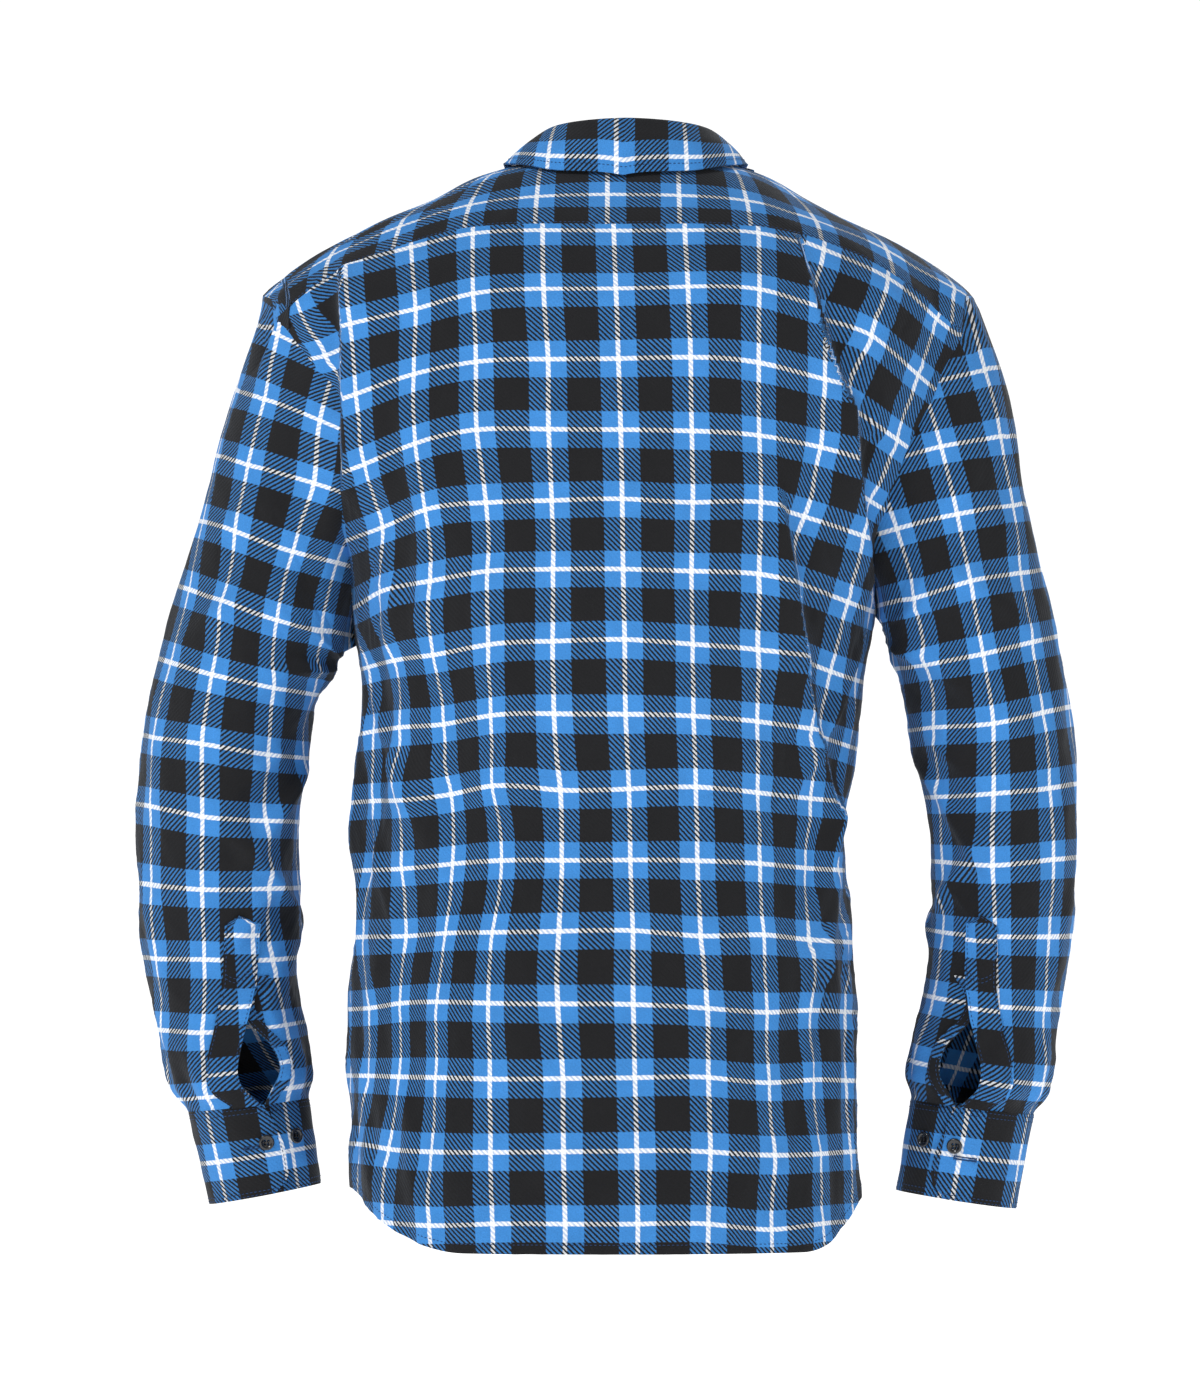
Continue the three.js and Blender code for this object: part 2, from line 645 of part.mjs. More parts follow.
// The neckline behind the front yoke seam, by its share of the way from one side to the other.
function backNeckPlace(share) {
  if (share <= 0) return frontSeamPlace(RIGHT, 0);
  if (share >= 1) return frontSeamPlace(LEFT, 0);
  const turn = radians(lerp(-NECK_BACK.turn, NECK_BACK.turn, share));
  const out = NECK_BACK.out * signedPower(Math.sin(turn), NECK_BACK.roundness);
  const frontDepth = NECK_JUNCTION.y / Math.cos(radians(NECK_BACK.turn));
  const depth = Math.cos(turn) > 0 ? bodySection(NECK_BACK.z).back : frontDepth;
  return placeOver(neckMiddle(NECK_BACK.z) + out, depth * Math.cos(turn) * NECK_BACK.depth);
}

function makeYoke(back) {
  const lower = back.ids.at(-1).map((id) => back.points[id]);
  const neckColumns = BACK_COLUMNS - 2 * YOKE_END_COLUMNS;
  const upper = lower.map((_, i) => {
    if (i < YOKE_END_COLUMNS) return frontSeamPlace(RIGHT, 1 - i / YOKE_END_COLUMNS);
    if (i > BACK_COLUMNS - YOKE_END_COLUMNS) {
      return frontSeamPlace(LEFT, 1 - (BACK_COLUMNS - i) / YOKE_END_COLUMNS);
    }
    return backNeckPlace((i - YOKE_END_COLUMNS) / neckColumns);
  });
  const rows = [lower];
  for (let j = 1; j <= YOKE_ROWS; j += 1) {
    const share = j / YOKE_ROWS;
    rows.push(
      lower.map((start, i) => {
        if (j === YOKE_ROWS) return bodyPoint(upper[i].angle, upper[i].z);
        const end = plainBodyPoint(upper[i].angle, upper[i].z);
        const u = (2 * i) / BACK_COLUMNS - 1;
        const bulge = YOKE_BULGE.height * signedPower(u, YOKE_BULGE.power) * 4 * share * (1 - share);
        const x = lerp(start.x, end.x, share) + bulge;
        const place = placeOver(x, lerp(start.y, end.y, share));
        return bodyPoint(place.angle, place.z);
      }),
    );
  }
  return flip(surfaceFromRows(rows));
}

// Fronts

// The neckline from the centre front (share 0) to the front yoke seam (share 1).
function frontNeckPlace(side, share) {
  if (share >= 1) return frontSeamPlace(side, 0);
  const turn = (share * Math.PI) / 2;
  const out = NECK_JUNCTION.out * Math.sin(turn) ** NECK_FRONT.roundness;
  const y = lerp(NECK_JUNCTION.y, NECK_FRONT.y, Math.cos(turn) ** NECK_FRONT.roundness);
  return placeOver(neckMiddle(NECK_FRONT.z) + side * out, y);
}

// Signed angle from the centre front of a point a given distance to the front's own side.
function frontAngle(distance, z) {
  const s = bodySection(z);
  return Math.sign(distance) * Math.asin((Math.abs(distance) / s.half) ** (s.power / 2));
}

function frontEdgePlace(side, z, distance) {
  return { angle: side * (Math.PI - frontAngle(distance, z)), z };
}

function makeFront(side) {
  const outer = sideEdge(side, true, FRONT_JUNCTION_Z).map(({ angle, z }) => ({
    angle: angle * side < 0 ? angle + side * 2 * Math.PI : angle,
    z,
  }));
  const rows = outer.length - 1;
  const neckStart = frontNeckPlace(side, 0);
  const share = outer.map(({ z }) => (z - outer[0].z) / (outer[rows].z - outer[0].z));
  const centre = share.map((v) => frontEdgePlace(side, lerp(FRONT_HEM_Z, neckStart.z, v), 0));
  const top = [centre[rows]];
  for (let i = 1; i <= FRONT_NECK_COLUMNS; i += 1) {
    top.push(frontNeckPlace(side, i / FRONT_NECK_COLUMNS));
  }
  for (let i = 1; i < FRONT_YOKE_COLUMNS; i += 1) {
    top.push(frontSeamPlace(side, i / FRONT_YOKE_COLUMNS));
  }
  top.push(outer[rows]);
  const columns = top.length - 1;
  const hemAngle = (i) => lerp(side * Math.PI, outer[0].angle, i / columns);
  const bottom = top.map((_, i) => hemPlace(hemAngle(i), true));
  bottom[0] = centre[0];
  bottom[columns] = outer[0];
  const places = fillGrid(bottom, top, centre, outer, FRONT_FADE);
  const grid = places.map((row) => {
    const edge = frontEdgePlace(side, row[0].z, -FRONT_OVERLAP);
    return [edge, ...row];
  });
  const points = grid.map((row) =>
    row.map(({ angle, z }) => {
      const x = plainBodyPoint(angle, z).x - bodySection(z).middle;
      const under = smooth(-FRONT_OVERLAP - FRONT_SINK_LENGTH, -FRONT_OVERLAP - 1, x);
      return bodyPoint(angle, z, side === RIGHT ? -FRONT_SINK * under : 0);
    }),
  );
  const surface = surfaceFromRows(points);
  return side === LEFT ? surface : flip(surface);
}

// Sleeves

function ringPoint(ring, side, angle, swell = 0) {
  const inward = (1 - Math.cos(angle)) / 2;
  const half = Math.hypot(ring.out - ring.in, ring.outZ - ring.inZ) / 2;
  const grow = 1 + swell / half;
  const across = lerp(0.5, inward, grow);
  return new THREE.Vector3(
    side * lerp(ring.in, ring.out, across),
    ring.y + (ring.depth + swell) * Math.sin(angle),
    lerp(ring.inZ, ring.outZ, across),
  );
}

function sleeveRing(side, at) {
  const rings = SLEEVE[side].map((ring, number) => ({ ...ring, number }));
  const ring = {};
  for (const key of ["out", "outZ", "in", "inZ", "y", "depth"]) {
    ring[key] = tableValue(rings, "number", key, at);
  }
  return ring;
}

function sleeveSwell(at, angle) {
  let swell = 0;
  for (const fold of SLEEVE_FOLDS) {
    const along = at - fold.ring;
    let round = angle - radians(fold.angle);
    round = Math.atan2(Math.sin(round), Math.cos(round));
    const centred = round * SLEEVE_RADIUS - along * fold.slope;
    const ends = 1 - smooth(0.3, 1, Math.abs(along) / fold.reach);
    swell += fold.height * ends * Math.exp(-((centred / fold.width) ** 2));
  }
  const gather = smooth(BLOUSE.from, BLOUSE.full, at) * (1 - smooth(BLOUSE.hold, BLOUSE.to, at));
  const dieOut = smooth(SLEEVE_FOLDS_END.from, SLEEVE_FOLDS_END.to, at);
  return swell * (1 - dieOut) + BLOUSE.height * gather;
}

// Angles of the grid's columns round one row, the slit's edges first and last.
function slitAngles(row, columns) {
  const tower = tableValue(SLIT_EDGES, "row", "tower", row);
  const binding = 360 + tableValue(SLIT_EDGES, "row", "binding", row);
  const first = tower + 2 * TOWER_STEP;
  const last = binding - BINDING_STEP;
  const angles = [tower, tower + TOWER_STEP];
  for (let i = 2; i < columns; i += 1) {
    angles.push(lerp(first, last, (i - 2) / (columns - 3)));
  }
  angles.push(binding);
  return angles.map(radians);
}

function makeSleeve(side, loop) {
  const columns = loop.length;
  const lengths = loop.map((point, i) => point.distanceTo(loop[(i + 1) % columns]));
  const whole = lengths.reduce((a, b) => a + b, 0);
  const starts = [0];
  for (const length of lengths) starts.push(starts.at(-1) + length / whole);
  const rows = [];
  const order = evenly(columns, 0, columns).map((i) => (i + SLEEVE_LOOP_START) % columns);
  rows.push(order.map((i) => loop[i].clone()));
  const loopAngles = order.map((i, j) => {
    const turns = j > 0 && i <= SLEEVE_LOOP_START ? 1 : 0;
    return 2 * Math.PI * (starts[i] + turns);
  });
  const count = (SLEEVE[side].length - 1) / SLEEVE_ROW_STEP + 1;
  for (let row = 1; row <= count; row += 1) {
    const at = (row - 1) * SLEEVE_ROW_STEP;
    const ring = sleeveRing(side, at);
    const slit = slitAngles(row, columns);
    const settle = smooth(0, SLEEVE_SETTLE, at);
    rows.push(
      order.map((_, j) => {
        const angle = lerp(loopAngles[j], slit[j], settle);
        return ringPoint(ring, side, angle, sleeveSwell(at, angle));
      }),
    );
  }
  const surface = surfaceFromRows(rows);
  return side === LEFT ? surface : flip(surface);
}

// A strip along one edge of the slit, cut out of the sleeve's own grid.
function slitStrip(sleeve, side, firstColumn, lastColumn, firstRow, isPointed) {
  const strip = new Surface();
  strip.normals = [];
  const map = new Map();
  const take = (j, i) => {
    const id = sleeve.ids[j][i];
    if (!map.has(id)) {
      map.set(id, strip.add(sleeve.points[id].clone()));
      strip.normals.push(sleeve.normals[id].clone());
    }
    return map.get(id);
  };
  for (let j = firstRow; j + 1 < sleeve.ids.length; j += 1) {
    for (let i = firstColumn; i < lastColumn; i += 1) {
      strip.quad(take(j, i), take(j, i + 1), take(j + 1, i + 1), take(j + 1, i));
    }
  }
  if (isPointed) {
    const middle = firstColumn + 1;
    const tip = take(firstRow - 1, middle);
    const below = take(firstRow, middle);
    strip.points[tip].lerp(strip.points[below], TOWER_POINT_CUT);
    strip.triangles.push([take(firstRow, firstColumn), tip, below]);
    strip.triangles.push([below, tip, take(firstRow, lastColumn)]);
  }
  return side === LEFT ? strip : flip(strip);
}

// Cuffs

function cuffRing(side, down) {
  const { top, bottom } = CUFF[side];
  const ring = {};
  for (const key of Object.keys(top)) ring[key] = lerp(top[key], bottom[key], down);
  return ring;
}

function cuffPoint(side, degrees, down) {
  const under = smooth(CUFF_UNDERLAP.from, CUFF_UNDERLAP.to, degrees);
  const sink = (CUFF_CLOTH + CUFF_UNDERLAP.gap) * under;
  return ringPoint(cuffRing(side, down), side, radians(degrees), -sink);
}

function makeCuff(side) {
  const rows = evenly(CUFF_ROWS, 0, 1).map((down) => {
    const end = tableValue(CUFF_END, "down", "angle", down);
    const columns = evenly(CUFF_COLUMNS, end, CUFF_UNDERLAP_ANGLE);
    return columns.map((degrees) => cuffPoint(side, degrees, down));
  });
  const surface = surfaceFromRows(rows);
  return side === LEFT ? surface : flip(surface);
}

// Collar

function shareAlong(points) {
  const lengths = [0];
  for (let i = 1; i < points.length; i += 1) {
    lengths.push(lengths[i - 1] + points[i].distanceTo(points[i - 1]));
  }
  return lengths.map((length) => length / lengths.at(-1));
}

// Level outward direction at each point of the neckline.
function neckOutward(points) {
  return points.map((_, i) => {
    const before = points[Math.max(0, i - 1)];
    const after = points[Math.min(points.length - 1, i + 1)];
    const along = after.clone().sub(before);
    return new THREE.Vector3(-along.y, along.x, 0).normalize();
  });
}

// 1 beside the neck, 0 at the centre back and the centre front.
function sideways(fromBack) {
  return Math.sin(Math.PI * fromBack) ** 2;
}

function standTop(neck, outward, fromBack) {
  return neck.map((point, i) => {
    const beside = sideways(fromBack[i]);
    const height = STAND_HEIGHT - STAND_FRONT_DROP * fromBack[i] - STAND_SIDE_DROP * beside;
    const lean = lerp(STAND_LEAN.ends, STAND_LEAN.sides, beside);
    return point.clone().addScaledVector(outward[i], -lean).add(new THREE.Vector3(0, 0, height));
  });
}

function makeStand(neck, top) {
  const middle = neck.map((point, i) => point.clone().lerp(top[i], 0.5));
  const raised = neck.map((point) => point.clone().setZ(point.z + LIFT));
  return flip(surfaceFromRows([raised, middle, top]));
}

function makeFall(neck, top, outward, fromBack) {
  const rows = FALL_PROFILE.map(({ out, up }) =>
    top.map((point, i) => {
      const slope = point.clone().sub(neck[i]).normalize();
      const off = outward[i].clone().addScaledVector(slope, -outward[i].dot(slope)).normalize();
      const narrowed = out * lerp(1, FALL_SIDE_SHARE, sideways(fromBack[i]));
      return point.clone().addScaledVector(off, narrowed).addScaledVector(slope, up);
    }),
  );
  const shoulder = rows.at(-1);
  const edge = top.map((_, i) => {
    const value = (key) => tableValue(FALL_EDGE, "share", key, fromBack[i]);
    const side = i < top.length / 2 ? RIGHT : LEFT;
    const x = neckMiddle(0) * (1 - fromBack[i]) + side * value("out");
    return new THREE.Vector3(x, value("y"), heightOver(x, value("y")) + value("clear"));
  });
  for (let j = 1; j <= FALL_ROWS_BELOW; j += 1) {
    const share = j / FALL_ROWS_BELOW;
    const bow = FALL_BOW * Math.sin(Math.PI * share);
    rows.push(
      shoulder.map((point, i) => {
        const between = point.clone().lerp(edge[i], share);
        return between.addScaledVector(outward[i], bow).setZ(between.z + bow);
      }),
    );
  }
  return surfaceFromRows(rows);
}

// Buttons

function buttonGeometry() {
  const profile = BUTTON_PROFILE.map(([share, height]) => new THREE.Vector2(share * BUTTON_RADIUS, height));
  return new THREE.LatheGeometry(profile, 12).rotateX(Math.PI / 2);
}

function placeButton(mesh, point, outward) {
  mesh.quaternion.setFromUnitVectors(new THREE.Vector3(0, 0, 1), outward);
  mesh.position.copy(point).addScaledVector(outward, BUTTON_LIFT);
}

function outwardOf(surfacePoint, a, b) {
  const step = 0.5;
  const alongA = surfacePoint(a + step, b).sub(surfacePoint(a - step, b));
  const alongB = surfacePoint(a, b + step * 0.01).sub(surfacePoint(a, b - step * 0.01));
  return alongA.cross(alongB).normalize();
}

// Assembly

const shirt = new THREE.Group();
shirt.name = "flannel_shirt";
const clothMaterial = new THREE.MeshStandardMaterial({
  color: COLOURS.cloth,
  roughness: 0.95,
  metalness: 0,
  side: THREE.DoubleSide,
});
const trimMaterial = new THREE.MeshStandardMaterial({
  color: COLOURS.trim,
  roughness: 0.95,
  metalness: 0,
});
const buttonMaterial = new THREE.MeshStandardMaterial({
  color: COLOURS.button,
  roughness: 0.3,
  metalness: 0,
});

function addMesh(name, geometry, material) {
  const mesh = new THREE.Mesh(geometry, material);
  mesh.name = name;
  shirt.add(mesh);
  return mesh;
}

const back = makeBack();
const yoke = makeYoke(back);
const fronts = { [LEFT]: makeFront(LEFT), [RIGHT]: makeFront(RIGHT) };

// The armhole's points: from the armpit up the back, over the yoke and down the front.
function armholeLoop(side) {
  const rowEnd = (surface, j, which) => surface.points[surface.ids[j].at(which)];
  const ownEnd = side === LEFT ? -1 : 0;
  const loop = [];
  for (let j = SIDE_ROWS; j < SIDE_ROWS + ARMHOLE_ROWS; j += 1) loop.push(rowEnd(back, j, ownEnd));
  for (let j = 0; j < YOKE_ROWS; j += 1) loop.push(rowEnd(yoke, j, ownEnd));
  for (let j = SIDE_ROWS + ARMHOLE_ROWS; j > SIDE_ROWS; j -= 1) loop.push(rowEnd(fronts[side], j, -1));
  return loop;
}

const sleeves = {
  [LEFT]: makeSleeve(LEFT, armholeLoop(LEFT)),
  [RIGHT]: makeSleeve(RIGHT, armholeLoop(RIGHT)),
};
shareNormals([back, yoke, fronts[LEFT], fronts[RIGHT], sleeves[LEFT], sleeves[RIGHT]]);

addMesh("back", wall(back, CLOTH), clothMaterial);
addMesh("yoke", wall(yoke, CLOTH), clothMaterial);
addMesh("front_left", wall(fronts[LEFT], CLOTH), clothMaterial);
addMesh("front_right", wall(fronts[RIGHT], CLOTH), clothMaterial);

// The neckline's points, from the right front's edge round the back to the left front's edge.
const topRow = (surface) => surface.ids.at(-1).map((id) => surface.points[id]);
const neck = [
  ...topRow(fronts[RIGHT]).slice(0, FRONT_NECK_COLUMNS + 2),
  ...topRow(yoke).slice(YOKE_END_COLUMNS + 1, BACK_COLUMNS - YOKE_END_COLUMNS),
  ...topRow(fronts[LEFT]).slice(0, FRONT_NECK_COLUMNS + 2).reverse(),
];
const outward = neckOutward(neck);
const fromBack = shareAlong(neck).map((share) => Math.abs(2 * share - 1));
const standTopLine = standTop(neck, outward, fromBack);
const stand = makeStand(neck, standTopLine);
shareNormals([stand]);
addMesh("collar_stand", wall(stand, STAND_CLOTH), trimMaterial);

// The fall starts one grid column behind the stand's ends.
const trimmed = (list) => list.slice(1, -1);
const fallShare = shareAlong(trimmed(neck)).map((share) => Math.abs(2 * share - 1));
const fall = makeFall(trimmed(neck), trimmed(standTopLine), trimmed(outward), fallShare);
shareNormals([fall]);
addMesh("collar_fall", wall(fall, FALL_CLOTH), clothMaterial);

const sideNames = { [LEFT]: "left", [RIGHT]: "right" };
for (const side of [LEFT, RIGHT]) {
  const name = sideNames[side];
  const sleeve = sleeves[side];
  const lastColumn = sleeve.ids[0].length - 1;
  addMesh("sleeve_" + name, wall(sleeve, CLOTH), clothMaterial);
  const tower = slitStrip(sleeve, side, 0, 2, TOWER_TOP_ROW, true);
  addMesh("sleeve_placket_" + name, wall(tower, CLOTH, LIFT), trimMaterial);
  const binding = slitStrip(sleeve, side, lastColumn - 1, lastColumn, SLIT_TOP_ROW, false);
  addMesh("slit_binding_" + name, wall(binding, CLOTH, LIFT), trimMaterial);
  const cuff = makeCuff(side);
  shareNormals([cuff]);
  addMesh("cuff_" + name, wall(cuff, CUFF_CLOTH), trimMaterial);
  for (const { name: which, angle, down } of CUFF_BUTTONS) {
    const button = addMesh("cuff_button_" + which + "_" + name, buttonGeometry(), buttonMaterial);
    const at = (degrees, share) => cuffPoint(side, degrees, share);
    const direction = outwardOf(at, angle, down).multiplyScalar(side);
    placeButton(button, at(angle, down), direction);
  }
}

FRONT_BUTTON_Z.forEach((z, i) => {
  const button = addMesh("front_button_" + (i + 1), buttonGeometry(), buttonMaterial);
  const at = (degrees, share) => bodyPoint(radians(degrees), z + 100 * share);
  const direction = outwardOf(at, 180, 0);
  if (direction.y > 0) direction.negate();
  placeButton(button, at(180, 0), direction);
});
const collarButton = addMesh("collar_button", buttonGeometry(), buttonMaterial);
const standFront = neck.at(-2).clone().lerp(standTopLine.at(-2), 0.5);
placeButton(collarButton, standFront.setY(standFront.y - COLLAR_BUTTON_LIFT), new THREE.Vector3(0, -1, 0));

export default shirt;
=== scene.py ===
import math

import bpy
import numpy as np
from mathutils import Matrix, Vector


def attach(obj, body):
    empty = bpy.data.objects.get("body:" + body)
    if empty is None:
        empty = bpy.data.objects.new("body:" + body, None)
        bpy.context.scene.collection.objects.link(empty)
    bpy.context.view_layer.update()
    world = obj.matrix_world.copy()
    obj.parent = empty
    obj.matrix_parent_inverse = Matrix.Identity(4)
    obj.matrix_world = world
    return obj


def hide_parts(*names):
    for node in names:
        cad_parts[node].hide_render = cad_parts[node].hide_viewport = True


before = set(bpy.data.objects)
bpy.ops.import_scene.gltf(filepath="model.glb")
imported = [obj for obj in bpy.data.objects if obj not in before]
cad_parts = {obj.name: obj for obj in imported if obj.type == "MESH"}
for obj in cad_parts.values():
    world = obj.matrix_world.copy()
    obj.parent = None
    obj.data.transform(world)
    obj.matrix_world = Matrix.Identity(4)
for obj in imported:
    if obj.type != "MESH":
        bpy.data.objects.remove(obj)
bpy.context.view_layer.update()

MM = 0.001
FINE = 7  # fine grid lines for each one of the frame's own grid
REPEAT = 50.8  # the check repeats at this many millimetres, both ways
LEFT, RIGHT = 1, -1  # the wearer's, along +X and -X
SIDE_NAMES = {LEFT: "left", RIGHT: "right"}

# The panels' own dimensions, the same as the frame's.
CLOTH = 1.2
CUFF_CLOTH = 2.2
STAND_CLOTH = 1.8
FALL_CLOTH = 1.6
LIFT = 0.35
BACK_HEM_Z, FRONT_HEM_Z, SIDE_HEM_Z = -759, -750, -716
HEM_RISE_FROM, HEM_RISE_TO = {LEFT: 30, RIGHT: 44}, {LEFT: 90, RIGHT: 93}
FRONT_OVERLAP = 16
FRONT_SINK = STAND_CLOTH + 0.5
FRONT_SINK_LENGTH = 26
STAND_HEIGHT = 26.5
SIDE_ANGLE = {LEFT: math.radians(89), RIGHT: math.radians(-93)}
ARMPIT_Z = {LEFT: -333, RIGHT: -310}
FRONT_JUNCTION_Z = -104
SIDE_ROWS, ARMHOLE_ROWS, YOKE_ROWS = 12, 8, 5
BACK_COLUMNS, YOKE_END_COLUMNS = 26, 6
FRONT_NECK_COLUMNS, FRONT_YOKE_COLUMNS = 5, 6
TOWER_TOP_ROW, SLIT_TOP_ROW = 17, 19
SLEEVE_LAST_ROW = 25

# z, left, right, back, front, squareness of level sections of the body
BODY = np.array([
    (-775, 186, 177, 132, 120, 2.4), (-705, 189, 172, 131, 120, 2.4),
    (-663, 187, 169, 130.5, 119, 2.4), (-627, 190, 169, 130, 119, 2.4),
    (-584, 191, 168, 129, 118, 2.4), (-524, 185, 162, 127, 117, 2.4),
    (-478, 187, 160, 127, 117, 2.4), (-450, 186, 162, 128.5, 118, 2.4),
    (-414, 185, 167, 134, 121, 2.4), (-360, 183, 172, 142, 125, 2.4),
    (-328, 188, 178, 144, 126, 2.4), (-290, 192, 183, 145, 126, 2.4),
    (-250, 200, 194, 145, 125, 2.4), (-200, 228, 224, 144.5, 121, 2.4),
    (-150, 248, 246, 143, 115, 2.4), (-112, 254, 252, 141, 102, 2.4),
    (-87, 254, 254, 138.5, 89, 2.4), (-72, 238, 237, 134, 81, 2.4),
    (-58, 218, 217, 127, 74, 2.4), (-44, 193, 193, 118, 66, 2.35),
    (-30, 166, 161.5, 108, 57, 2.3), (-16, 132, 135, 94, 50, 2.25),
    (0, 101, 107, 77, 40, 2.2), (8, 76, 86, 66, 32, 2.1), (14, 60, 70, 58, 24, 2),
])
ARMHOLE_Z = [-333, -310, -280, -250, -220, -190, -160, -133, -112, -100, -87]
ARMHOLE_X = {
    (LEFT, False): [190, 189, 188, 187, 189, 191, 197, 216, 231, 239, 252],
    (RIGHT, False): [178, 179, 180, 183, 193, 206, 221, 232, 242, 247, 254],
    (LEFT, True): [186, 187, 188, 191, 199, 211, 225, 237, 246, 250, 254],
    (RIGHT, True): [174, 176, 179, 187, 197, 210, 224, 236, 245, 250, 254],
}
YOKE_SEAM_X = [-242, -210, -172, -145, -115, -90, 0, 90, 115, 147, 176, 205, 238]
YOKE_SEAM_Z = [-112, -83, -60, -49, -41, -38, -37.5, -38, -41, -50, -60, -74, -101]

# from angle, from z, to angle, to z, height, width towards the middle, width away from it
BODY_FOLDS = [
    (62, -540, 52, -700, 4, 20, 20), (80, -420, 72, -690, 5, 14, 14),
    (-66, -450, -60, -700, 5, 18, 16), (34, -480, 30, -730, 3, 22, 22),
    (-36, -500, -34, -740, 3, 22, 22), (118, -250, 128, -620, 5, 20, 18),
    (-120, -240, -130, -600, 5, 20, 18), (138, -130, 122, -240, 5, 18, 18),
    (-136, -130, -122, -230, 5, 18, 18),
]
# Finer creases that only the cloth shows, given the same way.
CREASES = [
    (30, -120, 44, -330, 2.2, 10, 7), (-22, -90, -34, -250, 2.0, 9, 6),
    (74, -345, 40, -470, 2.6, 8, 7), (76, -365, 52, -540, 2.2, 7, 7),
    (-78, -325, -44, -440, 2.6, 8, 6), (-80, -350, -56, -520, 2.4, 7, 7),
    (18, -420, 14, -700, 1.3, 12, 12), (-20, -470, -16, -720, 1.3, 12, 12),
    (52, -560, 44, -740, 1.6, 9, 9), (-50, -580, -48, -740, 1.6, 9, 9),
    (70, -600, 64, -720, 2.0, 8, 8), (-74, -590, -70, -715, 2.0, 8, 8),
    (104, -345, 132, -460, 2.6, 8, 7), (-106, -325, -134, -440, 2.6, 8, 7),
    (150, -180, 158, -420, 1.8, 12, 10), (-150, -180, -158, -420, 1.8, 12, 10),
    (108, -470, 112, -690, 2.4, 10, 10), (-110, -470, -114, -690, 2.4, 10, 10),
    (146, -500, 150, -720, 1.6, 12, 12), (-146, -500, -150, -720, 1.6, 12, 12),
]
FOLD_RADIUS = 165

# Folds that lap over the cloth outside them: height, width inside the edge, width outside it,
# and the edge's places (x, z) as seen from behind, from the top down.
BACK_LAPS = {
    "strip_left": (9, 30, 4.5, [
        (193, -50), (192, -90), (190, -158), (188, -215), (191, -240), (198, -268),
    ]),
    "strip_right": (8.5, 26, 4.5, [
        (-126, -50), (-136, -90), (-146, -127), (-154, -147), (-163, -166), (-166, -215),
        (-169, -241), (-171, -268), (-178, -300),
    ]),
    "side_right": (6, 22, 4.5, [
        (-111, -189), (-113, -237), (-121, -288), (-125, -315), (-130, -340), (-138, -396),
        (-147, -448), (-156, -500), (-166, -535),
    ]),
    "side_left": (4.5, 22, 5, [
        (158, -240), (165, -290), (158, -345), (152, -385), (158, -440), (166, -490), (178, -545),
    ]),
}
SLEEVE_LAPS = {
    LEFT: [(6.5, 18, 5, [
        (237, -94), (253, -108), (257, -133), (253, -154), (233, -172), (212, -190), (199, -203),
    ])],
    RIGHT: [(6.5, 16, 5, [
        (261, -98), (250, -119), (243, -133), (237, -154), (232, -169), (225, -193),
        (220, -222), (211, -235), (196, -246),
    ])],
}

# Where white lines cross, as seen from behind: for each warp line, its weft lines' numbers with
# the x and z of the crossing.
BACK_CHART = {
    5: [(5, 190, -308), (6, 176, -348), (8, 171, -444), (10, 182, -540),
        (11, 176, -589), (12, 176, -638), (13, 183, -687)],
    4: [(0, 196, -57), (1, 191, -102), (2, 187, -153), (3, 181, -203), (4, 166, -248),
        (5, 169, -294), (6, 160, -343), (7, 155, -390), (8, 161, -441), (9, 154, -489),
        (10, 149, -539), (11, 156, -588), (12, 156, -638), (13, 161, -690), (14, 167, -742)],
    3: [(0, 147, -50), (1, 143, -95), (2, 145, -139), (3, 144, -188), (4, 137, -236),
        (5, 133, -288), (6, 132, -338), (7, 124, -387), (8, 117, -437), (9, 118, -486),
        (10, 123, -538), (11, 129, -588), (12, 131, -640), (13, 133, -692), (14, 134, -744)],
    2: [(0, 104, -39), (1, 102, -82), (2, 102, -129), (3, 100, -179), (4, 95, -230),
        (5, 92, -280), (6, 91, -330), (7, 90, -380), (8, 90, -433), (10, 90, -535),
        (12, 90, -638), (14, 90, -743)],
    1: [(0, 53, -38), (2, 50, -129), (4, 48, -229), (6, 46, -330), (8, 41, -433),
        (10, 41, -535), (12, 39, -638), (14, 38, -743)],
    0: [(0, 2, -38), (2, -1, -129), (4, -2, -229), (6, -4, -330), (8, -8, -433),
        (10, -9, -537), (12, -12, -639), (14, -13, -744)],
    -1: [(0, -48, -38), (2, -51, -128), (4, -52, -230), (6, -53, -330), (8, -56, -434),
         (10, -59, -537), (12, -63, -640), (14, -64, -746)],
    -2: [(0, -99, -40), (1, -101, -80), (2, -101, -130), (3, -101, -181), (4, -101, -232),
         (5, -100, -284), (6, -100, -333), (7, -99, -385), (8, -100, -437), (9, -102, -488),
         (10, -105, -540), (11, -107, -591), (12, -107, -643), (14, -109, -746)],
    -3: [(0, -147, -51), (2, -147, -141), (3, -145, -192), (4, -144, -240), (5, -142, -290),
         (6, -140, -341), (7, -138, -390), (8, -139, -441), (9, -134, -491), (10, -132, -540),
         (11, -137, -591), (12, -140, -642), (13, -144, -693), (14, -147, -744)],
    -4: [(9, -156, -492), (10, -164, -543), (11, -160, -592), (12, -163, -643), (13, -166, -693)],
}
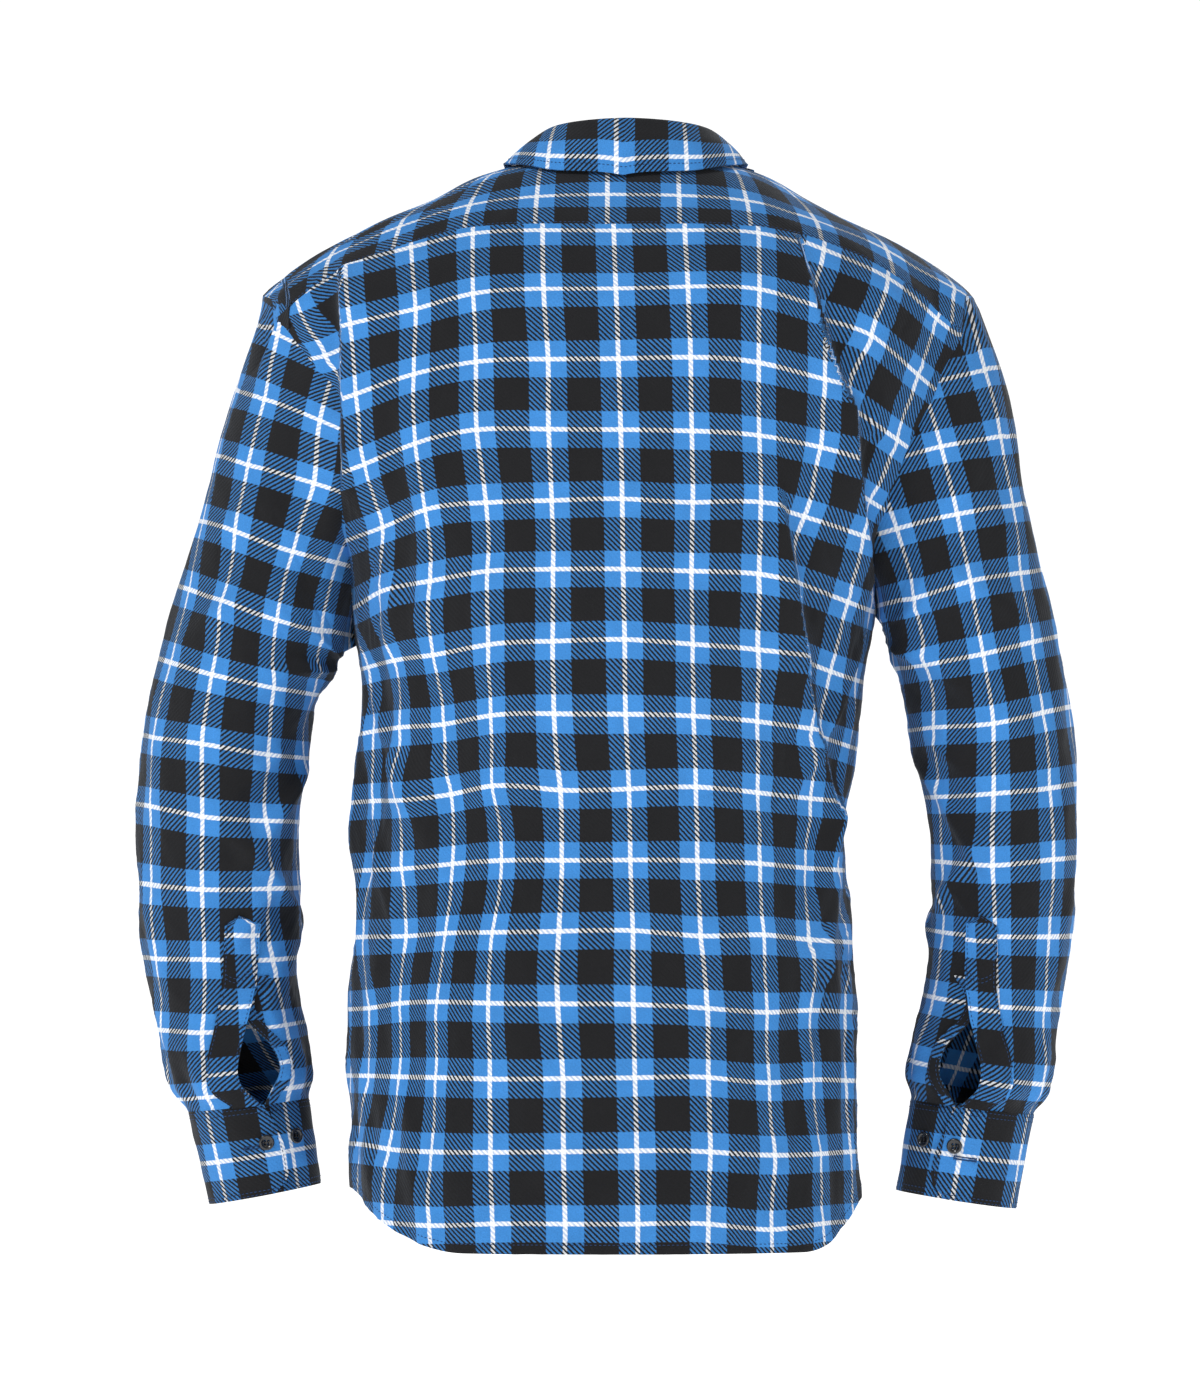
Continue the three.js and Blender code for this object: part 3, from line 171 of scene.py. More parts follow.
# The cloth outside a lapped fold lies turned, so it has a chart of its own.
LAP_CHARTS = {
    "side_right": {
        -2: [(2, -101, -130), (3, -101, -181)],
        -3: [(2, -147, -141), (3, -141, -191), (4, -132, -241), (5, -124, -287)],
        -4: [(4, -174, -255), (5, -164, -302), (6, -151, -351), (7, -144, -399)],
    },
    "strip_right": {
        -3: [(0, -147, -51), (1, -139, -98)],
        -4: [(0, -191, -71), (1, -180, -113), (2, -165, -161)],
        -5: [(0, -226, -101), (1, -213, -141), (2, -198, -186), (3, -180, -230), (4, -173, -278)],
    },
    "strip_left": {
        3: [(1, 191, -57), (2, 166, -101)],
        4: [(1, 235, -82), (2, 210, -126), (3, 185, -170)],
        5: [(2, 254, -151), (3, 229, -195)],
    },
}
LAP_ENDS = {"side_right": (-175, -215, -900, -910), "strip_right": (60, 50, -900, -910),
            "strip_left": (60, 50, -900, -910)}
SLEEVE_CHART = {
    LEFT: {
        -1: [(4, 307, -292), (6, 330, -398), (7, 333, -448), (8, 332, -502), (9, 328, -554),
             (10, 322, -606)],
        0: [(0, 242, -112), (1, 251, -156), (2, 263, -202), (3, 272, -252), (4, 280, -301),
            (5, 289, -352), (6, 296, -402), (7, 296, -455), (8, 296, -506), (9, 294, -555),
            (10, 296, -607), (11, 290, -654)],
        1: [(1, 213, -174), (2, 217, -218), (3, 230, -267), (4, 242, -314), (5, 247, -363),
            (6, 249, -410), (7, 252, -458), (8, 250, -506), (9, 247, -557), (10, 238, -602)],
        2: [(3, 200, -274), (4, 212, -321), (5, 218, -367), (6, 224, -412)],
    },
    RIGHT: {
        0: [(1, -231, -191), (2, -242, -239), (3, -250, -288), (4, -259, -338), (5, -267, -387),
            (6, -267, -436), (7, -266, -488), (9, -270, -590), (10, -270, -641)],
        1: [(0, -260, -136), (1, -271, -184), (2, -284, -231), (3, -287, -281), (4, -295, -331),
            (5, -302, -381), (6, -307, -434), (7, -309, -486), (8, -306, -540), (9, -302, -591),
            (10, -297, -643)],
        -1: [(3, -211, -298), (4, -220, -345), (5, -223, -392), (6, -227, -439), (7, -230, -486),
             (8, -230, -536), (9, -225, -583), (10, -215, -629)],
    },
}
CAMERA_X, CAMERA_Z, CAMERA_DISTANCE = 12.8, -366.9, 8000
FRONT_BUTTON_Z = [-132, -218, -304, -390, -476, -562]
CUFF_HOLE = {LEFT: (258, -689), RIGHT: (-246, -696)}
CROSSBAR, CROSSBAR_WIDTH = 46, 3  # from the point of the sleeve placket to its crossbar

# outer z, outer x, inner z, inner x, y, depth of the sleeve's rings
SLEEVE = {
    LEFT: np.array([
        (-116, 264, -337, 194, 14, 64), (-160, 276, -341, 196, 12, 65),
        (-215, 290, -347, 199.5, 8, 66), (-271, 306, -356, 204, 3, 66),
        (-328, 323, -372, 213, -3, 65), (-385, 336, -402, 220.5, -9, 64),
        (-442, 341.5, -442, 225, -14, 60), (-500, 342, -492, 227, -19, 57),
        (-535, 341, -528, 227.5, -23, 54), (-577, 334.5, -564, 227.5, -27, 51),
        (-611, 325.5, -599, 227.4, -30, 48.5), (-642, 315.5, -630, 224, -32, 46.5),
        (-665, 307, -655, 220.5, -33, 42.5),
    ]),
    RIGHT: np.array([
        (-116, 268, -315, 185, 13, 63), (-160, 280, -320, 187.5, 11, 64),
        (-215, 288.5, -328, 190, 7, 65), (-271, 300, -342, 194, 2, 65),
        (-328, 312, -363, 202, -3, 64), (-385, 322.5, -398, 208, -9, 63),
        (-442, 327.5, -440, 219, -14, 60), (-500, 326, -492, 223, -19, 57),
        (-535, 323.5, -528, 223.7, -23, 54), (-577, 317, -564, 220.5, -27, 51),
        (-611, 309.5, -599, 216.5, -30, 48.5), (-643, 303.5, -631, 212, -32, 46.5),
        (-667, 296.5, -656, 209.5, -33, 42.5),
    ]),
}
# ring, angle, slope, reach, height, width of the sleeve's folds
SLEEVE_FOLDS = [
    (2.6, 95, 26, 1.6, 6, 12), (3.8, 60, 30, 1.5, 5, 11), (6.2, 42, 42, 1.1, 5, 9),
    (7, 50, -40, 1.1, 5, 9), (7.6, 330, 36, 1.2, 5, 9), (6.6, 300, -30, 1.3, 4, 10),
    (4.4, 285, -28, 1.4, 4, 12),
]
SLEEVE_CREASES = [
    (1.8, 120, 20, 1.4, 2.4, 7), (3.2, 110, 34, 1.2, 2.0, 6), (2.2, 60, 36, 1.4, 2.6, 7),
    (3.0, 35, 40, 1.2, 2.4, 6), (5.6, 62, 50, 0.9, 2.2, 6), (6.6, 75, -46, 0.9, 2.0, 6),
    (7.8, 60, 30, 0.9, 2.0, 6), (8.6, 110, 8, 1.6, 1.6, 9), (8.0, 150, -10, 1.8, 1.8, 9),
    (6.0, 200, 8, 2.0, 1.6, 12), (5.4, 250, -36, 1.2, 2.2, 7), (7.0, 270, 38, 1.1, 2.2, 7),
    (3.0, 320, 30, 1.4, 2.4, 8), (9.0, 290, 12, 1.5, 1.8, 8),
]
SLIT_ROW = [0, 19, 20, 21, 22, 23, 24, 25]
SLIT_TOWER = [63, 63, 69, 76, 84, 90, 88, 76]
BINDING_ROW = [0, 18.6, 19, 19.5, 20.2, 21, 22, 23, 24, 25]
BINDING_PAST = [0, 0, 0, 6, 5.5, -6, -27, -36, -27, -3.5]
TOWER_STEP, BINDING_STEP = 13, 10
BINDING_SINK, BINDING_OUT_ROW = 3.4, 20.6  # it comes out from under the placket at this row
CAP_FROM_TO_Z, CAP_ROWS = (-175, -120), 1.7  # where the sleeve's cap follows the armhole's edge
CUFF_BOTTOM = {
    LEFT: np.array((-731, 291.5, -716, 212, -37, 39.5)),
    RIGHT: np.array((-734, 284, -721, 199, -37, 39.5)),
}
CUFF_END_DOWN = [0, 0.25, 0.6, 0.85, 1]
CUFF_END_ANGLE = [74, 66, 59, 63, 78]
CUFF_UNDERLAP_ANGLE = 450
CUFF_WARP, CUFF_WEFT = {LEFT: -19.9, RIGHT: 4}, {LEFT: 13.8, RIGHT: 16.8}
TOWER_WARP, TOWER_WEFT = {LEFT: 14, RIGHT: 28}, {LEFT: 18, RIGHT: -3.4}
TOWER_TIP = {LEFT: 2, RIGHT: 0}
FALL_PROFILE = [(-2.2, 2.6), (1.5, 4.6), (6.5, 3.4), (10, -3.5)]
FALL_EDGE_SHARE = [0, 0.2, 0.36, 0.48, 0.6, 0.8, 1]
FALL_EDGE_OUT = [0, 54, 80, 87, 84, 66, 36]
FALL_EDGE_Y = [84, 70, 36, 2, -32, -76, -101]
FALL_EDGE_CLEAR = [4.5, 4.5, 4, 4, 6, 4.5, 4.5]
FALL_SHIFT = -4


def curve(xs, ys, at):
    """Smooth curve through the points (xs, ys), level beyond its ends."""
    xs, ys = np.asarray(xs, float), np.asarray(ys, float)
    at = np.clip(np.asarray(at, float), xs[0], xs[-1])
    i = np.clip(np.searchsorted(xs, at, side="right") - 1, 0, len(xs) - 2)
    step = np.diff(xs)
    slope = np.diff(ys) / step
    tangent = np.concatenate([slope[:1], (slope[1:] + slope[:-1]) / 2, slope[-1:]])
    t = (at - xs[i]) / step[i]
    t2, t3 = t * t, t * t * t
    ends = (2 * t3 - 3 * t2 + 1) * ys[i] + (3 * t2 - 2 * t3) * ys[i + 1]
    return ends + step[i] * ((t3 - 2 * t2 + t) * tangent[i] + (t3 - t2) * tangent[i + 1])


def smooth(start, end, at):
    t = np.clip((np.asarray(at, float) - start) / (end - start), 0, 1)
    return t * t * (3 - 2 * t)


def lerp(a, b, t):
    return a + (b - a) * t


def signed_power(value, power):
    return np.sign(value) * np.abs(value) ** power


def unit(v):
    return v / np.maximum(np.linalg.norm(v, axis=-1, keepdims=True), 1e-9)


def ripples(x, y, wavelength, seed, count=8, depth=0):
    """Uneven waves of about one wavelength, from -1 to 1 or so."""
    rng = np.random.default_rng(seed)
    total = 0
    for _ in range(count):
        turn, tip = rng.uniform(0, math.pi), rng.uniform(-1, 1)
        number = 2 * math.pi / (wavelength * rng.uniform(0.7, 1.5))
        phase = rng.uniform(0, 2 * math.pi)
        way = x * math.cos(turn) + y * math.sin(turn) + depth * tip
        total = total + np.sin(number * way + phase)
    return total / math.sqrt(count)


def sharp_ripples(x, y, wavelength, seed):
    """Ripples with narrow crests, as pressed cloth has."""
    bent = x + 0.25 * wavelength * ripples(x, y, 2.2 * wavelength, seed + 50, 5)
    return 1 - np.abs(ripples(bent, y, wavelength, seed, 5)) * 1.6


# Body surface


def body_section(z):
    columns = [curve(BODY[:, 0], BODY[:, k], z) for k in range(1, 6)]
    left, right, back, front, power = columns
    return (left - right) / 2, (left + right) / 2, back, front, power


def plain_body(angle, z):
    middle, half, back, front, power = body_section(z)
    across, along = np.sin(angle), np.cos(angle)
    depth = np.where(along > 0, back, front)
    x = middle + half * signed_power(across, 2 / power)
    y = depth * signed_power(along, 2 / power)
    return np.stack([x, y, np.broadcast_to(z, x.shape)], -1)


def ridge(angle, z, fold):
    """Height of one fold of the body, 0 to 1."""
    from_angle, from_z, to_angle, to_z, _, inner, outer = fold
    ax, bx = math.radians(from_angle) * FOLD_RADIUS, math.radians(to_angle) * FOLD_RADIUS
    dx, dz = bx - ax, to_z - from_z
    length = math.hypot(dx, dz)
    px, pz = angle * FOLD_RADIUS - ax, z - from_z
    along = (px * dx + pz * dz) / length**2
    side = (px * dz - pz * dx) / length
    outward = -side * np.sign(from_angle)
    width = np.where(outward > 0, outer, inner)
    ends = smooth(-0.15, 0.2, along) * (1 - smooth(0.75, 1.15, along))
    return ends * np.exp(-((side / width) ** 2))


def signed_angle(angle):
    return np.arctan2(np.sin(angle), np.cos(angle))


def lap_distance(x, z, edge):
    """Distance from a fold's edge, positive outside it, and the share along the edge."""
    edge = np.asarray(edge, float)
    outside = np.sign(edge[:, 0].mean())
    step = np.diff(edge, axis=0)
    lengths = np.linalg.norm(step, axis=1)
    starts = np.concatenate([[0], np.cumsum(lengths)])
    best = np.full(np.shape(x), 1e9)
    share, sign = np.zeros(best.shape), np.ones(best.shape)
    for k in range(len(step)):
        px, pz = x - edge[k, 0], z - edge[k, 1]
        t = (px * step[k, 0] + pz * step[k, 1]) / lengths[k] ** 2
        t = np.clip(t, 0 if k else -9, 1 if k < len(step) - 1 else 9)
        away = np.hypot(px - t * step[k, 0], pz - t * step[k, 1])
        nearer = away < best
        best = np.where(nearer, away, best)
        turned = (step[k, 0] * pz - step[k, 1] * px) * outside
        sign = np.where(nearer, np.where(turned >= 0, 1, -1), sign)
        share = np.where(nearer, (starts[k] + t * lengths[k]) / starts[-1], share)
    return best * sign, share


def lap_height(x, z, lap):
    """A gentle rise to a fold's edge, a steep drop past it and a shallow trough beyond."""
    height, inner, outer, edge = lap
    away, share = lap_distance(x, z, edge)
    ends = smooth(0, 0.22, share) * (1 - smooth(0.82, 1.1, share))
    past = np.exp(-((away / outer) ** 2)) - 0.28 * np.exp(-(((away - 2.6 * outer) / 7) ** 2))
    return height * ends * np.where(away < 0, np.exp(-((away / inner) ** 2)), past)


def body_height(angle, z):
    angle = signed_angle(angle)
    height = sum(fold[4] * ridge(angle, z, fold) for fold in BODY_FOLDS)
    x = plain_body(angle, z)[..., 0]
    laps = sum(lap_height(x, z, lap) for lap in BACK_LAPS.values())
    height = height + laps * smooth(100, 88, np.degrees(np.abs(angle)))
    fine = 1.7 * sum(fold[4] * ridge(angle, z, fold) for fold in CREASES)
    s = angle * FOLD_RADIUS
    calm = smooth(0, 70, -40 - z)
    fine = fine + 1.5 * ripples(s, z * 0.45, 70, 3) * calm
    fine = fine + 0.75 * ripples(s + 0.2 * z, z * 0.6, 26, 5) * (0.4 + 0.6 * calm)
    fine = fine + 0.4 * sharp_ripples(s - 0.1 * z, z, 19, 9) * (0.3 + 0.7 * calm)
    return height + fine * (1 - smooth(-30, -14, z))


def body_outward(angle, z):
    step = 0.01
    round_way = plain_body(angle + step, z) - plain_body(angle - step, z)
    up_way = plain_body(angle, z + 1) - plain_body(angle, z - 1)
    outward = unit(np.cross(up_way, round_way))
    flat = np.stack([np.sin(angle), np.cos(angle), np.zeros_like(angle)], -1)
    return outward * np.where((outward * flat).sum(-1) < 0, -1, 1)[..., None]


def body_point(angle, z, lift=0):
    angle, z = np.broadcast_arrays(np.asarray(angle, float), np.asarray(z, float))
    height = body_height(angle, z) + lift
    return plain_body(angle, z) + body_outward(angle, z) * height[..., None]


def angle_at(x, z, is_front):
    middle, half, _, _, power = body_section(z)
    share = np.minimum(1, np.abs(x - middle) / half)
    angle = np.arcsin(share ** (power / 2)) * np.sign(x - middle)
    if not is_front:
        return angle
    return np.where(x >= middle, 1, -1) * math.pi - angle


def height_over(x, y):
    x, y = np.broadcast_arrays(np.asarray(x, float), np.asarray(y, float))
    low, high = np.full(x.shape, -140.0), np.full(x.shape, 13.9)
    for _ in range(40):
        z = (low + high) / 2
        middle, half, back, front, power = body_section(z)
        depth = np.where(y > 0, back, front)
        inside = (np.abs(x - middle) / half) ** power + (np.abs(y) / depth) ** power < 1
        low, high = np.where(inside, z, low), np.where(inside, high, z)
    return (low + high) / 2


def place_over(x, y):
    z = height_over(x, y)
    return np.where(np.asarray(y) < 0, angle_at(x, z, True), angle_at(x, z, False)), z


def armhole_place(side, z, is_front):
    z = np.asarray(z, float)
    x = side * curve(ARMHOLE_Z, ARMHOLE_X[side, is_front], z)
    above = smooth(ARMPIT_Z[side], ARMPIT_Z[side] + 45, z)
    return lerp(SIDE_ANGLE[side], angle_at(x, z, is_front), above), z


def side_edge(side, is_front, junction_z):
    low = np.linspace(SIDE_HEM_Z, ARMPIT_Z[side], SIDE_ROWS * FINE + 1)
    high = np.linspace(ARMPIT_Z[side], junction_z, ARMHOLE_ROWS * FINE + 1)
    angle, z = armhole_place(side, high, is_front)
    return (
        np.concatenate([np.full(len(low), SIDE_ANGLE[side]), angle[1:]]),
        np.concatenate([low, z[1:]]),
    )


def hem_z(angle, is_front):
    from_middle = math.pi - np.abs(angle) if is_front else np.abs(angle)
    start = np.radians(np.where(angle < 0, HEM_RISE_FROM[RIGHT], HEM_RISE_FROM[LEFT]))
    end = np.radians(np.where(angle < 0, HEM_RISE_TO[RIGHT], HEM_RISE_TO[LEFT]))
    rise = smooth(start, end, from_middle)
    return lerp(FRONT_HEM_Z if is_front else BACK_HEM_Z, SIDE_HEM_Z, rise)


def fill_grid(bottom, top, first, last, fade):
    """Places between four edges, each a pair of arrays: angles and heights."""
    u = np.linspace(0, 1, len(bottom[0]))[None, :]
    v = ((last[1] - last[1][0]) / (last[1][-1] - last[1][0]))[:, None]
    out = []
    for k in (0, 1):
        low = bottom[k] - lerp(bottom[k][0], bottom[k][-1], u[0])
        high = top[k] - lerp(top[k][0], top[k][-1], u[0])
        sides = lerp(first[k][:, None], last[k][:, None], u)
        out.append(sides + (1 - v) ** fade * low[None, :] + v**fade * high[None, :])
    return out


def back_places():
    u = np.linspace(-1, 1, BACK_COLUMNS * FINE + 1)
    x = np.where(u < 0, -u * YOKE_SEAM_X[0], u * YOKE_SEAM_X[-1])
    z = curve(YOKE_SEAM_X, YOKE_SEAM_Z, x)
    top = [angle_at(x, z, False), z]
    right = side_edge(RIGHT, False, YOKE_SEAM_Z[0])
    left = side_edge(LEFT, False, YOKE_SEAM_Z[-1])
    angle = np.abs(u) * np.where(u < 0, SIDE_ANGLE[RIGHT], SIDE_ANGLE[LEFT])
    bottom = [angle, hem_z(angle, False)]
    for k in (0, 1):
        top[k][0], top[k][-1] = right[k][-1], left[k][-1]
        bottom[k][0], bottom[k][-1] = right[k][0], left[k][0]
    return fill_grid(bottom, top, right, left, 2)


def neck_middle(z):
    return body_section(z)[0]


def front_seam_places(side, share):
    end_angle, end_z = armhole_place(side, FRONT_JUNCTION_Z, True)
    end = plain_body(end_angle, end_z)
    start_x = neck_middle(-8) + side * 75
    angle, z = place_over(lerp(start_x, end[0], share), lerp(-32, end[1], share))
    return np.where(share >= 1, end_angle, angle), np.where(share >= 1, end_z, z)


def back_neck_places(share):
    turn = np.radians(lerp(-112, 112, share))
    out = 81 * signed_power(np.sin(turn), 0.95)
    depth = np.where(np.cos(turn) > 0, body_section(8)[2], -32 / math.cos(math.radians(112)))
    angle, z = place_over(neck_middle(8) + out, depth * np.cos(turn) * 0.999)
    for k, side in ((0, RIGHT), (-1, LEFT)):
        end = front_seam_places(side, np.array([0.0]))
        angle[k], z[k] = end[0][0], end[1][0]
    return angle, z


def yoke_points(lower):
    ends = YOKE_END_COLUMNS * FINE
    share = np.linspace(1, 0, ends + 1)
    right = front_seam_places(RIGHT, share)
    left = front_seam_places(LEFT, share[::-1])
    neck = back_neck_places(np.linspace(0, 1, (BACK_COLUMNS - 2 * YOKE_END_COLUMNS) * FINE + 1))
    upper = [np.concatenate([right[k][:-1], neck[k], left[k][1:]]) for k in (0, 1)]
    end = plain_body(*upper)
    u = np.linspace(-1, 1, len(lower))
    rows = [lower]
    for share in np.linspace(0, 1, YOKE_ROWS * FINE + 1)[1:-1]:
        bulge = 7 * signed_power(u, 5) * 4 * share * (1 - share)
        x = lerp(lower[:, 0], end[:, 0], share) + bulge
        rows.append(body_point(*place_over(x, lerp(lower[:, 1], end[:, 1], share))))
    rows.append(body_point(*upper))
    return np.array(rows)


def front_neck_places(side, share):
    turn = share * math.pi / 2
    out = 75 * np.sin(turn) ** 0.9
    y = lerp(-32, -85, np.cos(turn).clip(0) ** 0.9)
    angle, z = place_over(neck_middle(-60) + side * out, y)
    end = front_seam_places(side, np.array([0.0]))
    return np.where(share >= 1, end[0][0], angle), np.where(share >= 1, end[1][0], z)


def front_edge_angle(side, z, distance):
    _, half, _, _, power = body_section(z)
    turn = np.sign(distance) * np.arcsin((abs(distance) / half) ** (power / 2))
    return side * (math.pi - turn)


def front_points(side):
    outer = side_edge(side, True, FRONT_JUNCTION_Z)
    outer = (np.where(outer[0] * side < 0, outer[0] + side * 2 * math.pi, outer[0]), outer[1])
    start = front_neck_places(side, np.array([0.0]))
    share = (outer[1] - outer[1][0]) / (outer[1][-1] - outer[1][0])
    centre_z = lerp(FRONT_HEM_Z, start[1][0], share)
    centre = (front_edge_angle(side, centre_z, 0.0), centre_z)
    neck = front_neck_places(side, np.linspace(0, 1, FRONT_NECK_COLUMNS * FINE + 1))
    seam = front_seam_places(side, np.linspace(0, 1, FRONT_YOKE_COLUMNS * FINE + 1))
    top = [np.concatenate([neck[k], seam[k][1:]]) for k in (0, 1)]
    angle = np.linspace(side * math.pi, outer[0][0], len(top[0]))
    bottom = [angle, hem_z(angle, True)]
    for k in (0, 1):
        top[k] = np.where(top[k] * side < -2, top[k] + side * 2 * math.pi, top[k]) if k == 0 else top[k]
        top[k][0], top[k][-1] = centre[k][-1], outer[k][-1]
        bottom[k][0], bottom[k][-1] = centre[k][0], outer[k][0]
    angle, z = fill_grid(bottom, top, centre, outer, 4)
    past = np.linspace(-FRONT_OVERLAP, 0, 2 * FINE + 1)[:-1]
    edge_z = np.repeat(z[:, :1], len(past), axis=1)
    edge = front_edge_angle(side, edge_z, past[None, :] * np.ones_like(edge_z))
    angle, z = np.concatenate([edge, angle], 1), np.concatenate([edge_z, z], 1)
    x = plain_body(angle, z)[..., 0] - body_section(z)[0]
    under = smooth(-FRONT_OVERLAP - FRONT_SINK_LENGTH, -FRONT_OVERLAP - 1, x)
    return angle, z, body_point(angle, z, -FRONT_SINK * under if side == RIGHT else 0)


# Sleeves and cuffs


def ring_point(ring, side, angle, swell):
    out_z, out, in_z, inner, y, depth = ring
    inward = (1 - np.cos(angle)) / 2
    half = np.hypot(out - inner, out_z - in_z) / 2
    across = lerp(0.5, inward, 1 + swell / half)
    x, z = side * lerp(inner, out, across), lerp(in_z, out_z, across)
    return np.stack([x, y + (depth + swell) * np.sin(angle), z], -1)


def sleeve_ring(side, at):
    numbers = np.arange(len(SLEEVE[side]))
    return [curve(numbers, SLEEVE[side][:, k], at) for k in range(6)]


def sleeve_swell(side, at, angle):
    plain = ring_point(sleeve_ring(side, at), side, angle, np.zeros_like(angle))
    behind = smooth(-0.1, 0.15, np.sin(angle))
    laps = [lap_height(plain[..., 0] * side, plain[..., 2], lap) for lap in SLEEVE_LAPS[side]]
    swell = sum(laps) * behind * smooth(0, 0.6, at)
    for ring, place, slope, reach, height, width in SLEEVE_FOLDS + SLEEVE_CREASES:
        along = at - ring
        centred = signed_angle(angle - math.radians(place)) * 55 - along * slope
        ends = 1 - smooth(0.3, 1, np.abs(along) / reach)
        swell = swell + height * ends * np.exp(-((centred / width) ** 2))
    x, y, z = 55 * np.cos(angle), 55 * np.sin(angle), at * 45
    seed = 20 if side == LEFT else 40
    noise = 1.3 * ripples(x, y, 60, seed, depth=z * 0.5)
    noise = noise + 0.5 * ripples(x, y, 24, seed + 1, depth=z * 0.8)
    noise = noise + 0.25 * ripples(x, y, 12, seed + 2, depth=z)
    start = smooth(0, 1.2, at)
    gather = smooth(9, 10.8, at) * (1 - smooth(11.2, 12, at))
    pleats = np.sin(9 * angle + 1 + seed) + np.sin(14 * angle + 2) + np.sin(5 * angle + 4)
    pleats = 1.1 * pleats * smooth(9.6, 11.4, at) * (1 - smooth(11.5, 12, at))
    die_out = 1 - smooth(10, 12, at)
    return swell * die_out + noise * start * (0.15 + 0.85 * die_out) + 5 * gather + pleats


def slit_angles(row, column, columns):
    tower = curve(SLIT_ROW, SLIT_TOWER, row)
    binding = 360 + tower + curve(BINDING_ROW, BINDING_PAST, row)
    first, last = tower + 2 * TOWER_STEP, binding - BINDING_STEP
    middle = lerp(first, last, (column - 2) / (columns - 3))
    degrees = np.where(column < 2, tower + TOWER_STEP * column, middle)
    degrees = np.where(column > columns - 1, binding - BINDING_STEP * (columns - column), degrees)
    return np.radians(degrees)


def armhole_loop(side, back, yoke, front):
    """Points round the armhole: from the armpit up the back, over the yoke, down the front."""
    own_end = -1 if side == LEFT else 0
    low, high = SIDE_ROWS * FINE, (SIDE_ROWS + ARMHOLE_ROWS) * FINE
    return np.concatenate([
        back[low:high, own_end], yoke[: YOKE_ROWS * FINE, own_end], front[high:low:-1, -1],
    ])


def sleeve_points(side, loop):
    count = len(loop)
    lengths = np.linalg.norm(np.roll(loop, -1, 0) - loop, axis=1)
    starts = np.concatenate([[0], np.cumsum(lengths)[:-1]]) / lengths.sum()
    begin = 4 * FINE
    order = (np.arange(count + 1) + begin) % count
    turns = ((np.arange(count + 1) > 0) & (order <= begin)).astype(int)
    loop_angles = 2 * math.pi * (starts[order] + turns)
    column = (np.arange(count + 1) / FINE)[None, :]
    row = np.linspace(0, SLEEVE_LAST_ROW, SLEEVE_LAST_ROW * FINE + 1)[:, None]
    at = np.maximum(0, (row - 1) * 0.5)
    columns = count // FINE
    slit = slit_angles(np.maximum(1, row), column, columns)
    angle = lerp(loop_angles[None, :], slit, smooth(0, 7, at))
    ring = sleeve_ring(side, at)
    swell = sleeve_swell(side, at, angle)
    plain = ring_point(ring, side, angle, np.zeros_like(angle))
    points = ring_point(ring, side, angle, swell)
    near = np.clip(row, 0, 1)[..., None]
    edge = loop[order][None]
    cap = smooth(*CAP_FROM_TO_Z, edge[..., 2]) * np.exp(-((row / CAP_ROWS) ** 2))
    points = points + (edge - points[FINE: FINE + 1]) * cap[..., None]
    plain = plain + (edge - plain[FINE: FINE + 1]) * cap[..., None]
    under = BINDING_SINK * smooth(columns - 1.6, columns - 1.1, column)
    under = under * smooth(SLIT_TOP_ROW, SLIT_TOP_ROW + 0.4, row)
    under = under * (1 - smooth(BINDING_OUT_ROW, BINDING_OUT_ROW + 1, row))
    inward = np.stack([side * np.cos(angle), -np.sin(angle), np.zeros_like(angle)], -1)
    points = points + inward * under[..., None]
    return angle, lerp(edge, points, near), lerp(edge, plain, near)


AXIS_X = {
    LEFT: [140, 180, 212, 236, 258, 276, 284, 284, 276.5, 264, 255],
    RIGHT: [140, 180, 208, 230, 250, 266, 274, 273.5, 263, 253, 245],
}
AXIS_Z = [-95, -128, -178, -245, -320, -393, -460, -530, -605, -660, -720]
HALF_WIDTH_Z = [-660, -636, -605, -570, -531, -442, -330, -200, -100]
HALF_WIDTH = [43, 46, 49, 53.5, 57, 58, 57, 54, 50]


def along_axis(side, points):
    """Length along the sleeve's middle line, and offset outward from it, of each point."""
    number = np.arange(len(AXIS_Z))
    fine = np.linspace(0, len(AXIS_Z) - 1, 160)
    line = np.stack([curve(number, AXIS_X[side], fine), curve(number, AXIS_Z, fine)], -1)
    tangent = unit(np.gradient(line, axis=0))
    lengths = np.concatenate([[0], np.cumsum(np.linalg.norm(np.diff(line, axis=0), axis=1))])
    flat = points[..., [0, 2]].reshape(-1, 2) * np.array([side, 1])
    reach = ((flat[:, None, :] - line[None]) * tangent[None]).sum(-1)
    near = ((flat[:, None, :] - line[None]) ** 2).sum(-1).argmin(1)
    away = np.take_along_axis(reach, near[:, None], 1)[:, 0]
    length = lengths[near] + away
    t = np.stack([np.interp(length, lengths, tangent[:, k]) for k in (0, 1)], -1)
    foot = np.stack([np.interp(length, lengths, line[:, k]) for k in (0, 1)], -1)
    offset = ((flat - foot) * np.stack([-t[:, 1], t[:, 0]], -1)).sum(-1)
    shape = points.shape[:-1]
    return length.reshape(shape), offset.reshape(shape), foot[:, 1].reshape(shape)


def sleeve_cloth(side, angle, plain, at):
    """Cloth coordinates of the sleeve: round from the back's middle, and down from the top."""
    length, offset, foot_z = along_axis(side, plain)
    p = curve(HALF_WIDTH_Z, HALF_WIDTH, foot_z)
    ring = sleeve_ring(side, at)
    q = ring[5] * np.ones_like(p)
    turn = np.arctan2((plain[..., 1] - ring[4]) / q, -offset / p)
    turn = np.where(turn < math.radians(-5), turn + 2 * math.pi, turn)
    mean, spread = (p**2 + q**2) / 2, (q**2 - p**2) / 2
    round_way = np.sqrt(mean) * (turn - math.pi / 2 + spread / (4 * mean) * np.sin(2 * turn))
    girth = 2 * math.pi * np.sqrt(mean)
    facing = np.sin(angle) > 0.1
    cloth = follow_chart((-side * round_way, length), plain, facing, SLEEVE_CHART[side])
    return cloth, girth


